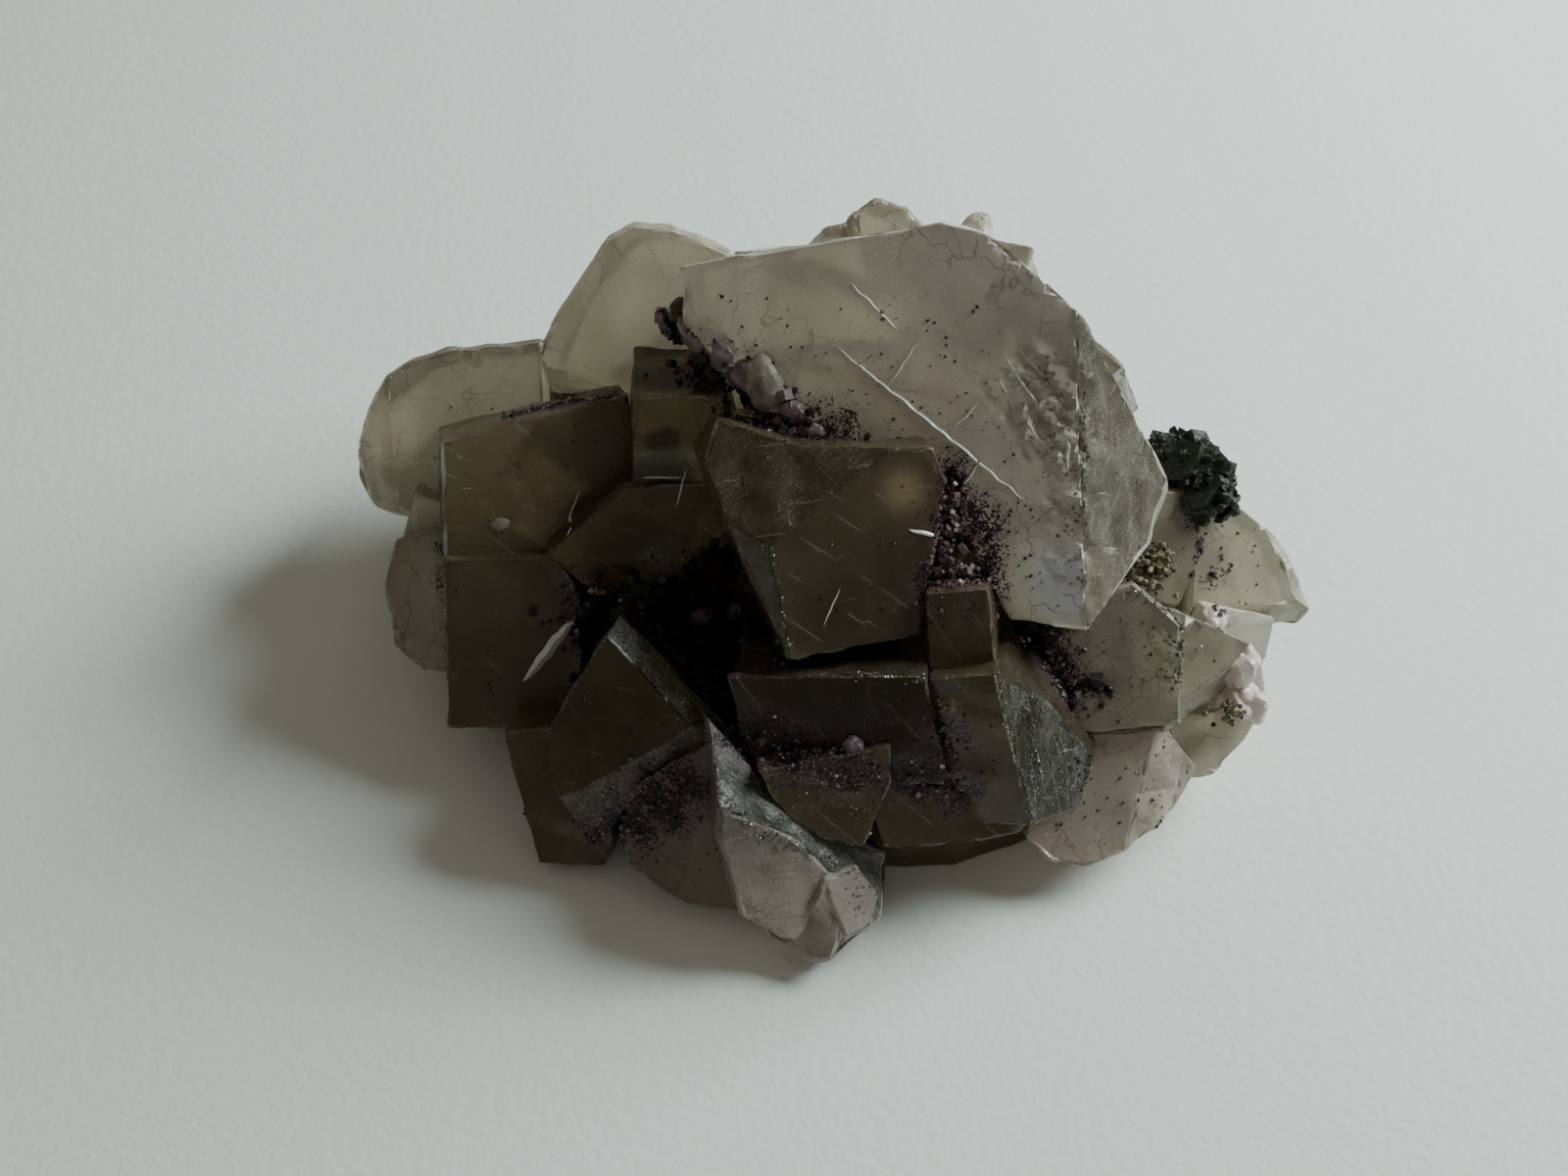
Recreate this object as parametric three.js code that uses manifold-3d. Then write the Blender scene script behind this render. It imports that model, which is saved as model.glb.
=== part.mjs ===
// A cluster of fluorite cubes grown through one another, as picked off its rock: pale lilac and smoky
// blocks with broken corners, dark crusts of small crystals in the hollows between them, and a lump
// of blackish sphalerite at the right. Millimetres, +Z up, the origin in the middle of the flat cut
// underneath. The side that faces -Y is the showy one.
import * as THREE from 'three';
import { mergeVertices } from 'three/addons/utils/BufferGeometryUtils.js';
import Module from 'manifold-3d';

const wasm = await Module();
wasm.setup();

const gap = 0.3; // clear space between two minerals
const cutHalf = 70; // half the side of the block that cuts the underside flat

// Each crystal is a block grown back from its showing face.
// at: a point of that face. looks: where the face looks, in degrees round from the front towards the
// right, and up from level. outline: the face's corners, in its own right and up. depth: how far back
// the block reaches. breaks: lines on the face, to the right of which it falls away by slope degrees.
const frontCrystals = [
  {
    name: 'crown',
    at: [4, 2.5, 38],
    looks: [-18, 42],
    depth: 30,
    outline: [
      [-23, 10.5], [1.5, 20], [5.5, 19.5], [12, 16], [17, 12], [22, 8], [27, 2.5], [27.5, -6], [24, -15],
      [16.5, -16], [4.5, -2.5], [-6.5, -2.5], [-21.5, 4.5],
    ],
    breaks: [{ from: [24, -15], to: [16.5, 12.5], slope: 48 }],
  },
  {
    name: 'back left block',
    at: [-22, 23, 33],
    looks: [-10, 45],
    depth: 22,
    outline: [[-9.5, -5.5], [-8, -1], [-4.5, 5.5], [-3.5, 8], [-0.5, 10], [4, 10], [10.5, 8], [13.5, -8.5], [-7.5, -9]],
    breaks: [{ from: [-9, -6.5], to: [1.5, -8.5], slope: 35 }],
  },
  {
    name: 'left block',
    at: [-41.5, 15.5, 23],
    looks: [-8, 48],
    depth: 17,
    outline: [
      [-10.5, -2], [-9, 3.5], [-5, 7.5], [0.5, 9.5], [9.5, 11], [11.5, -1.5], [0.5, -9], [-4.5, -9.5],
      [-8, -8.5], [-10, -5.5],
    ],
    breaks: [{ from: [-7, 4.5], to: [-4.5, -9.5], slope: 35 }],
  },
  {
    name: 'left shoulder',
    at: [-30.5, 5.5, 27.5],
    looks: [14, 38],
    depth: 18,
    outline: [[-9, 5], [10.5, 6.5], [10.5, -5.5], [0.5, -9.5], [-11, -7.5]],
    breaks: [],
  },
  {
    name: 'left front block',
    at: [-34.5, -7, 15.5],
    looks: [-4, 36],
    depth: 16,
    outline: [[-6, 8.5], [5.5, 9.5], [8.5, 4.5], [8, -9], [-5.5, -9.5]],
    breaks: [],
  },
  {
    name: 'left rim block',
    at: [-44.5, 0.5, 13],
    looks: [-25, 38],
    depth: 14,
    outline: [[-4, 5.5], [1.5, 9.5], [7, -6], [2.5, -7], [-1.5, -5.5], [-4, 1]],
    breaks: [],
  },
  {
    name: 'dark cube',
    at: [-15.5, 5, 32.5],
    looks: [3, 24],
    depth: 18,
    outline: [[-5, 5], [4, 5], [6, -1.5], [5, -7.5], [-1, -12], [-5.5, -8.5]],
    breaks: [],
  },
  {
    name: 'tilted slab',
    at: [-20.5, -1, 23.5],
    looks: [10, 30],
    depth: 15,
    outline: [[-9, 0.5], [-0.5, 6.5], [11, 5.5], [11, 1.5], [4.5, -4], [-0.5, -7], [-5.5, -3.5]],
    breaks: [{ from: [-6, -3.5], to: [11, 4], slope: 20 }],
  },
  {
    name: 'middle cube',
    at: [1, -10, 33],
    looks: [12, 36],
    depth: 24,
    outline: [[-11, 6], [-8, 8], [-2.5, 11], [9, 9], [10, 5.5], [7, -4.5], [5.5, -9.5], [-7.5, -9.5]],
    breaks: [{ from: [4.5, 9], to: [-8, 2], slope: 30 }, { from: [-8, 1.5], to: [-7, -10], slope: 45 }],
  },
  {
    name: 'lower middle cube',
    at: [-0.5, -21, 19.5],
    looks: [-10, 30],
    depth: 20,
    outline: [[-11, 4], [8, 7], [11.5, -4], [-8, -7.5]],
    breaks: [],
  },
  {
    name: 'small cube',
    at: [11.5, -15, 27],
    looks: [-12, 33],
    depth: 14,
    outline: [[-4, 3.5], [2, 5], [4, -3], [-2.5, -5]],
    breaks: [],
  },
  {
    name: 'lower right cube',
    at: [12, -22.5, 18.5],
    looks: [-19, 24],
    depth: 16,
    outline: [[-5, 6.5], [1.5, 9], [8, -6.5], [0, -9]],
    breaks: [],
  },
  {
    name: 'bottom left cube',
    at: [-22.5, -19, 16.5],
    looks: [-5, 40],
    depth: 18,
    outline: [[0, 11.5], [11.5, 0.5], [-2, -12.5], [-6.5, -5], [-6.5, -0.5]],
    breaks: [{ from: [9.5, -0.5], to: [-1.5, 10.5], slope: 45 }, { from: [-3.5, -9.5], to: [9.5, 0], slope: 45 }],
  },
  {
    name: 'foot block',
    at: [-29, -21, 8],
    looks: [-8, 33],
    depth: 16,
    outline: [[-5.5, 6.5], [3, 8], [7.5, 2.5], [6, -7], [-1, -7.5]],
    breaks: [],
  },
  {
    name: 'bottom cube',
    at: [-15, -26, 9],
    looks: [-16, 36],
    depth: 16,
    outline: [[-6.5, 3.5], [2, 11], [6.5, 7], [7, 0.5], [7, -7], [1, -7.5], [-5.5, -5], [-7, -1.5]],
    breaks: [],
  },
  {
    name: 'bottom tip',
    at: [-2.5, -32.5, 7.5],
    looks: [14, 34],
    depth: 14,
    outline: [
      [-7, 18.5], [-0.5, 8], [8.5, 1], [6.5, -4], [2.5, -6], [0, -7.5], [-5, -2.5], [-7.5, -0.5], [-8.5, 8.5],
    ],
    breaks: [{ from: [-2, 6], to: [-8.5, 16.5], slope: 40 }, { from: [7.5, 0], to: [-3, 6], slope: 40 }],
  },
  {
    name: 'front ledge',
    at: [-1, -26, 15.5],
    looks: [4, 30],
    depth: 14,
    outline: [[-7, 3], [6, 5], [6, 1], [3, -6], [-1.5, -4.5], [-4.5, -2]],
    breaks: [],
  },
  {
    name: 'front rim',
    at: [6.5, -27, 12],
    looks: [6, 34],
    depth: 14,
    outline: [[-4, 4.5], [3.5, 4], [12, 0], [11.5, -2], [7, -2.5], [-2.5, -2.5]],
    breaks: [],
  },
  {
    name: 'right wedge',
    at: [28.5, -14.5, 20],
    looks: [-4, 40],
    depth: 18,
    outline: [[0, 9], [5, 5], [5.5, -5], [-6.5, -6.5], [-9, 4.5]],
    breaks: [],
  },
  {
    name: 'right wedge flank',
    at: [37.5, -11.5, 18.5],
    looks: [35, 45],
    depth: 18,
    outline: [[-5.5, 10.5], [5.5, -1], [4.5, -3.5], [-7.5, -5], [-5, 3.5]],
    breaks: [{ from: [-7, -2.5], to: [4, -1.5], slope: 45 }],
  },
  {
    name: 'lower right block',
    at: [28, -22, 9.5],
    looks: [5, 42],
    depth: 16,
    outline: [[-5, 7], [5.5, 6.5], [9, 1.5], [6, -2.5], [1, -5.5], [-3.5, -7], [-7, -6], [-9.5, -3.5], [-8, 2]],
    breaks: [{ from: [0.5, -5.5], to: [4, 6.5], slope: 30 }],
  },
  {
    name: 'far right cube',
    at: [43, -1, 20.5],
    looks: [12, 45],
    depth: 12,
    outline: [[-5.5, 7.5], [-1.5, 7], [3, 2.5], [5.5, -5.5], [4.5, -7], [-8, -5]],
    breaks: [{ from: [4.5, -5.5], to: [1, 6], slope: 40 }, { from: [-7.5, -3.5], to: [4.5, -4.5], slope: 45 }],
  },
  {
    name: 'right low cube',
    at: [39.5, -15, 8],
    looks: [15, 38],
    depth: 12,
    outline: [[-5.5, 4.5], [5.5, 4], [3, 0.5], [-1, -2.5], [-5, -2.5]],
    breaks: [],
  },
  {
    name: 'right pale block',
    at: [41.5, -8.5, 13.5],
    looks: [20, 38],
    depth: 14,
    outline: [[-3, 7.5], [4.5, 4], [2.5, -0.5], [2, -4.5], [-1.5, -7], [-8, -4]],
    breaks: [],
  },
  {
    name: 'upper ledge',
    at: [25.5, -12, 20.5],
    looks: [0, 40],
    depth: 10,
    outline: [[-4, 2.5], [2, 2.5], [3, -0.5], [3, -1.5], [-5, -2.5]],
    breaks: [],
  },
  {
    name: 'neck block',
    at: [32.5, 0, 28],
    looks: [25, 35],
    depth: 16,
    outline: [[-3.5, 3], [3.5, 1], [3.5, -5.5], [-0.5, -10.5], [-5.5, -7.5]],
    breaks: [],
  },
];

// The far side and the two ends, in the same terms.
const farCrystals = [
  {
    name: 'back wall',
    at: [9, 37, 27],
    looks: [168, 24],
    depth: 22,
    outline: [[-13, 10], [9, 12], [14, 4], [13, -9], [-9, -12], [-15, -3]],
    breaks: [{ from: [13, -8], to: [6, 12], slope: 35 }],
  },
  {
    name: 'back top cube',
    at: [-3, 30, 36.5],
    looks: [-172, 48],
    depth: 16,
    outline: [[-9, 6], [6, 8], [9, -5], [-7, -8]],
    breaks: [],
  },
  {
    name: 'back left wall',
    at: [-19, 35, 22],
    looks: [-162, 28],
    depth: 20,
    outline: [[-9, 8], [7, 10], [10, -7], [-2, -11], [-10, -6]],
    breaks: [{ from: [-10, -4], to: [9, -6], slope: 40 }],
  },
  {
    name: 'back right cube',
    at: [27, 27, 25],
    looks: [128, 30],
    depth: 20,
    outline: [[-9, 7], [5, 10], [10, -6], [-6, -9]],
    breaks: [{ from: [9, -4], to: [4, 9], slope: 45 }],
  },
  {
    name: 'back right foot',
    at: [28, 28, 9],
    looks: [142, 12],
    depth: 20,
    outline: [[-8, 7], [6, 8], [9, -3], [5, -9], [-8, -9]],
    breaks: [],
  },
  {
    name: 'back foot',
    at: [4, 38, 10],
    looks: [-176, 8],
    depth: 20,
    outline: [[-11, 5], [-2, 9], [10, 6], [11, -10], [-10, -10]],
    breaks: [{ from: [-11, 2], to: [10, 3], slope: 30 }],
  },
  {
    name: 'back left foot',
    at: [-25, 29, 9],
    looks: [-142, 10],
    depth: 20,
    outline: [[-9, 6], [6, 8], [9, -9], [-8, -9]],
    breaks: [],
  },
  {
    name: 'left end cube',
    at: [-46, 14, 13],
    looks: [-98, 18],
    depth: 18,
    outline: [[-7, 5], [4, 7], [7, -4], [-4, -7]],
    breaks: [],
  },
  {
    name: 'right end cube',
    at: [41, 11, 14],
    looks: [80, 16],
    depth: 20,
    outline: [[-9, 6], [5, 8], [9, -5], [-5, -10]],
    breaks: [{ from: [7, -6], to: [4, 8], slope: 40 }],
  },
  {
    name: 'back knob',
    at: [4.5, 30, 40],
    looks: [20, 60],
    depth: 12,
    outline: [[-3.5, -2], [-3, 1.5], [0.5, 3], [4, 1], [5, -3]],
    breaks: [],
  },
  {
    name: 'back right knob',
    at: [15, 31, 37.5],
    looks: [-20, 55],
    depth: 12,
    outline: [[-2, -3], [-1.5, 2], [0.5, 2.5], [3.5, -3]],
    breaks: [],
  },
  {
    name: 'back shoulder cube',
    at: [20, 29, 32],
    looks: [152, 52],
    depth: 14,
    outline: [[-6, 5], [4, 6.5], [7, -3], [-3, -6.5]],
    breaks: [],
  },
  {
    name: 'back small cube',
    at: [3, 40, 30],
    looks: [-165, 40],
    depth: 12,
    outline: [[-5, 4], [3, 6], [6, -3], [-3, -5.5]],
    breaks: [{ from: [5, -2], to: [1, 6], slope: 45 }],
  },
  {
    name: 'back low cube',
    at: [17, 42, 13],
    looks: [155, 22],
    depth: 12,
    outline: [[-6, 5], [5, 6], [6, -6], [-5, -6.5]],
    breaks: [],
  },
  {
    name: 'left back low cube',
    at: [-36, 25, 13],
    looks: [-125, 25],
    depth: 14,
    outline: [[-6, 5], [5, 6.5], [7, -4], [-5, -6.5]],
    breaks: [],
  },
  {
    name: 'right back low cube',
    at: [39, 20, 9],
    looks: [112, 14],
    depth: 14,
    outline: [[-6, 4], [4, 6], [6, -5], [-4, -7]],
    breaks: [],
  },
  {
    name: 'footing', // the grown-together mass that the others stand in
    at: [0, 3, 11],
    looks: [0, 90],
    depth: 11,
    outline: [[-29, -14], [-20, -27], [12, -27], [29, -20], [33, 8], [22, 26], [-12, 28], [-29, 20]],
    breaks: [],
  },
];

// Blocky lumps: middle and side. Each is a cube turned its own way.
const paleKnobs = [[38, -3.5, 23.5, 3.4], [38.5, -6, 21, 4], [41.5, -11, 14, 3.4], [42, -13.5, 11.5, 3]];
const sphaleriteBlocks = [[38.5, 1.5, 26.5, 5.5], [36.5, 5, 28.5, 4.5], [34.5, 8, 30, 3.5], [36, 2.5, 26, 4.5]];
const ochreBlocks = [[31, -6, 25.5, 2], [32.3, -5.2, 25.8, 1.8], [33.4, -4.8, 25.4, 1.6]];

// A crust runs along its route as small cubes of about the given side that grow into one another.
const crusts = [
  {
    name: 'hollow_crust',
    side: 4.6,
    route: [[-25, -6, 17], [-17, -3, 15], [-12, 0, 16], [-8, -4, 16], [-12, -7, 13], [-15, -12, 12], [-11, -14, 12]],
  },
  {
    name: 'crown_crust',
    side: 3.8,
    route: [[-17, 15.5, 39], [-14, 12.5, 38], [-10, 9.5, 37.5], [-7, 6, 37], [-4, 3.5, 35.5], [0, 1.5, 35]],
  },
  {
    name: 'seam_crust',
    side: 2.6,
    route: [[10.5, -2.5, 35], [10.5, -6, 32], [10, -9, 29.5], [13, -10, 29]],
  },
  {
    name: 'ledge_crust',
    side: 3,
    route: [[19, -10.5, 23], [21.5, -12, 20.5], [22, -14.5, 18], [26.5, -14.5, 18]],
  },
];
const crustStep = 0.62; // from one crust cube to the next, as a share of their side
const goldenTurn = 2.4; // radians from one cube's turn to the next

function solidOf(geometry) {
  const bare = geometry.clone();
  bare.deleteAttribute('normal');
  bare.deleteAttribute('uv');
  const merged = mergeVertices(bare, 1e-4);
  return new wasm.Manifold(new wasm.Mesh({
    numProp: 3,
    vertProperties: merged.attributes.position.array,
    triVerts: new Uint32Array(merged.index.array),
  }));
}

function geometryOf(solid) {
  const { vertProperties, triVerts, numProp } = solid.getMesh();
  const geometry = new THREE.BufferGeometry();
  const stored = new THREE.InterleavedBuffer(vertProperties, numProp);
  geometry.setAttribute('position', new THREE.InterleavedBufferAttribute(stored, 3, 0));
  geometry.setIndex(new THREE.BufferAttribute(new Uint32Array(triVerts), 1));
  const flat = geometry.toNonIndexed();
  flat.computeVertexNormals();
  return flat;
}

// The turn and place that carry a face's own right, up and out into the cluster.
function placeOf(at, looks) {
  const [round, up] = looks.map(THREE.MathUtils.degToRad);
  const out = new THREE.Vector3(Math.sin(round) * Math.cos(up), -Math.cos(round) * Math.cos(up), Math.sin(up));
  const right = new THREE.Vector3(Math.cos(round), Math.sin(round), 0);
  const above = new THREE.Vector3().crossVectors(out, right);
  return new THREE.Matrix4().makeBasis(right, above, out).setPosition(...at);
}

// The block of material that a break takes off: all that lies outside a plane through the line.
function brokenOff({ from, to, slope }, reach) {
  const along = new THREE.Vector2(to[0] - from[0], to[1] - from[1]);
  const cutter = new THREE.BoxGeometry(2 * reach, 2 * reach, reach).translate(0, 0, reach / 2);
  cutter.rotateX(THREE.MathUtils.degToRad(slope));
  cutter.rotateZ(along.angle());
  cutter.translate(from[0], from[1], 0);
  return solidOf(cutter);
}

function crystalSolid({ at, looks, outline, depth, breaks }) {
  const face = new THREE.Shape(outline.map(([right, up]) => new THREE.Vector2(right, up)));
  const block = new THREE.ExtrudeGeometry(face, { depth, bevelEnabled: false }).translate(0, 0, -depth);
  let solid = solidOf(block);
  for (const line of breaks) {
    solid = solid.subtract(brokenOff(line, 4 * depth));
  }
  return solid.transform(placeOf(at, looks).toArray());
}

// The count-th cube of a row, turned on from the one before it, and larger all round by extra.
function lumpSolid([x, y, z, side], count, extra) {
  const cube = new THREE.BoxGeometry(side + 2 * extra, side + 2 * extra, side + 2 * extra);
  cube.rotateX(count * goldenTurn);
  cube.rotateY(count * goldenTurn * goldenTurn);
  cube.translate(x, y, z);
  return solidOf(cube);
}

function lumpsSolid(lumps, extra = 0) {
  return joined(lumps.map((lump, count) => lumpSolid(lump, count, extra)));
}

function joined(solids) {
  return solids.reduce((whole, piece) => whole.add(piece));
}

// The cubes of a crust, set along its route, with sides that vary by a quarter either way.
function crustLumps({ route, side }) {
  const path = new THREE.CatmullRomCurve3(route.map((point) => new THREE.Vector3(...point)));
  const steps = Math.round(path.getLength() / (side * crustStep));
  return path.getSpacedPoints(steps).map((point, count) => {
    const share = 0.75 + 0.5 * ((count * goldenTurn) % 1);
    return [point.x, point.y, point.z, side * share];
  });
}

// Cutting can leave loose chips: only the largest piece stays.
function largest(solid) {
  return solid.decompose().reduce((best, piece) => (piece.volume() > best.volume() ? piece : best));
}

const looks = {
  fluorite: { color: 0xb3a6a4, roughness: 0.25, metalness: 0 },
  sphalerite: { color: 0x161d1c, roughness: 0.35, metalness: 0.1 },
  crust: { color: 0x2b1c2c, roughness: 0.6, metalness: 0 },
  ochre: { color: 0x8a7440, roughness: 0.85, metalness: 0 },
};

const specimen = new THREE.Group();

function addPiece(name, solid, look) {
  const piece = new THREE.Mesh(geometryOf(solid), new THREE.MeshStandardMaterial(look));
  piece.name = name;
  specimen.add(piece);
}

const ground = new THREE.BoxGeometry(2 * cutHalf, 2 * cutHalf, cutHalf).translate(0, 0, -cutHalf / 2);
const otherMinerals = [sphaleriteBlocks, ochreBlocks, ...crusts.map(crustLumps)];

let cluster = joined([...frontCrystals, ...farCrystals].map(crystalSolid)).add(lumpsSolid(paleKnobs));
cluster = cluster.subtract(solidOf(ground));
for (const lumps of otherMinerals) {
  cluster = cluster.subtract(lumpsSolid(lumps, gap));
}

addPiece('fluorite', largest(cluster), looks.fluorite);
addPiece('sphalerite', lumpsSolid(sphaleriteBlocks), looks.sphalerite);
addPiece('ochre_grains', lumpsSolid(ochreBlocks), looks.ochre);
for (const crust of crusts) {
  addPiece(crust.name, lumpsSolid(crustLumps(crust)), looks.crust);
}

export default specimen;
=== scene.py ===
import math
import random

import bmesh
import bpy
from mathutils import Euler, Matrix, Vector, noise
from mathutils.bvhtree import BVHTree
from mathutils.kdtree import KDTree


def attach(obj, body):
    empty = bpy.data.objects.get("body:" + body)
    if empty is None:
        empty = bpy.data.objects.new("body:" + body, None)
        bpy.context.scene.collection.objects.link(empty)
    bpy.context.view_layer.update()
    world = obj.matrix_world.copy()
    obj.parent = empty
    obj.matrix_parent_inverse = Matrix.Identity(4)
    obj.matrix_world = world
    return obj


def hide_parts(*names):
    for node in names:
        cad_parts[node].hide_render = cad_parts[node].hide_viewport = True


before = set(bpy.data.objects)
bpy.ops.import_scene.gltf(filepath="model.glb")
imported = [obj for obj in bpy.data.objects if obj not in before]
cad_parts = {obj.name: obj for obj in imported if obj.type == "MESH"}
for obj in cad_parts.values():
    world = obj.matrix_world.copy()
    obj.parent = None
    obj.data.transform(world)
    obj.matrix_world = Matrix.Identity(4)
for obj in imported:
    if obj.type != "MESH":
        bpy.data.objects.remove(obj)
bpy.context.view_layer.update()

# A cluster of fluorite cubes: smoky and pale lilac crystals grown through one another, dark crusts in
# the hollows, a lump of sphalerite. Sizes in the dictionaries are millimetres, blender works in metres.
mm = 0.001
print("frame loaded, nodes:", len(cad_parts))

# camera, as the photograph was taken: from the front, looking half down
cameraView = dict(target=(-5.5, -3.5, 20), rise=50, distance=222.2, lens=50, sensor=36)


def addCamera(view):
    rise = math.radians(view["rise"])
    back = Vector((0, -math.cos(rise), math.sin(rise)))
    lensData = bpy.data.cameras.new("camera")
    lensData.lens = view["lens"]
    lensData.sensor_width = view["sensor"]
    lensData.clip_start = 0.01
    camera = bpy.data.objects.new("camera", lensData)
    camera.location = (Vector(view["target"]) + back * view["distance"]) * mm
    camera.rotation_euler = back.to_track_quat("Z", "Y").to_euler()
    bpy.context.scene.collection.objects.link(camera)
    bpy.context.scene.camera = camera


addCamera(cameraView)

# the crystals' colours, linear, and last how clear each is; partly their own colours, partly painted shade:
# the crystals in front and in the middle are darker as shade
tones = dict(
    cream=(0.72, 0.665, 0.52, 0.52),
    straw=(0.48, 0.44, 0.33, 0.52),
    lilac=(0.82, 0.775, 0.66, 0.45),
    mauve=(0.78, 0.66, 0.54, 0.45),
    pink=(0.90, 0.78, 0.72, 0.25),
    grey=(0.455, 0.405, 0.305, 0.60),
    smoky=(0.146, 0.111, 0.062, 0.56),
    olive=(0.068, 0.051, 0.021, 0.58),
    dusk=(0.26, 0.205, 0.17, 0.56),
    tip=(0.56, 0.475, 0.42, 0.55),
)
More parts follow.
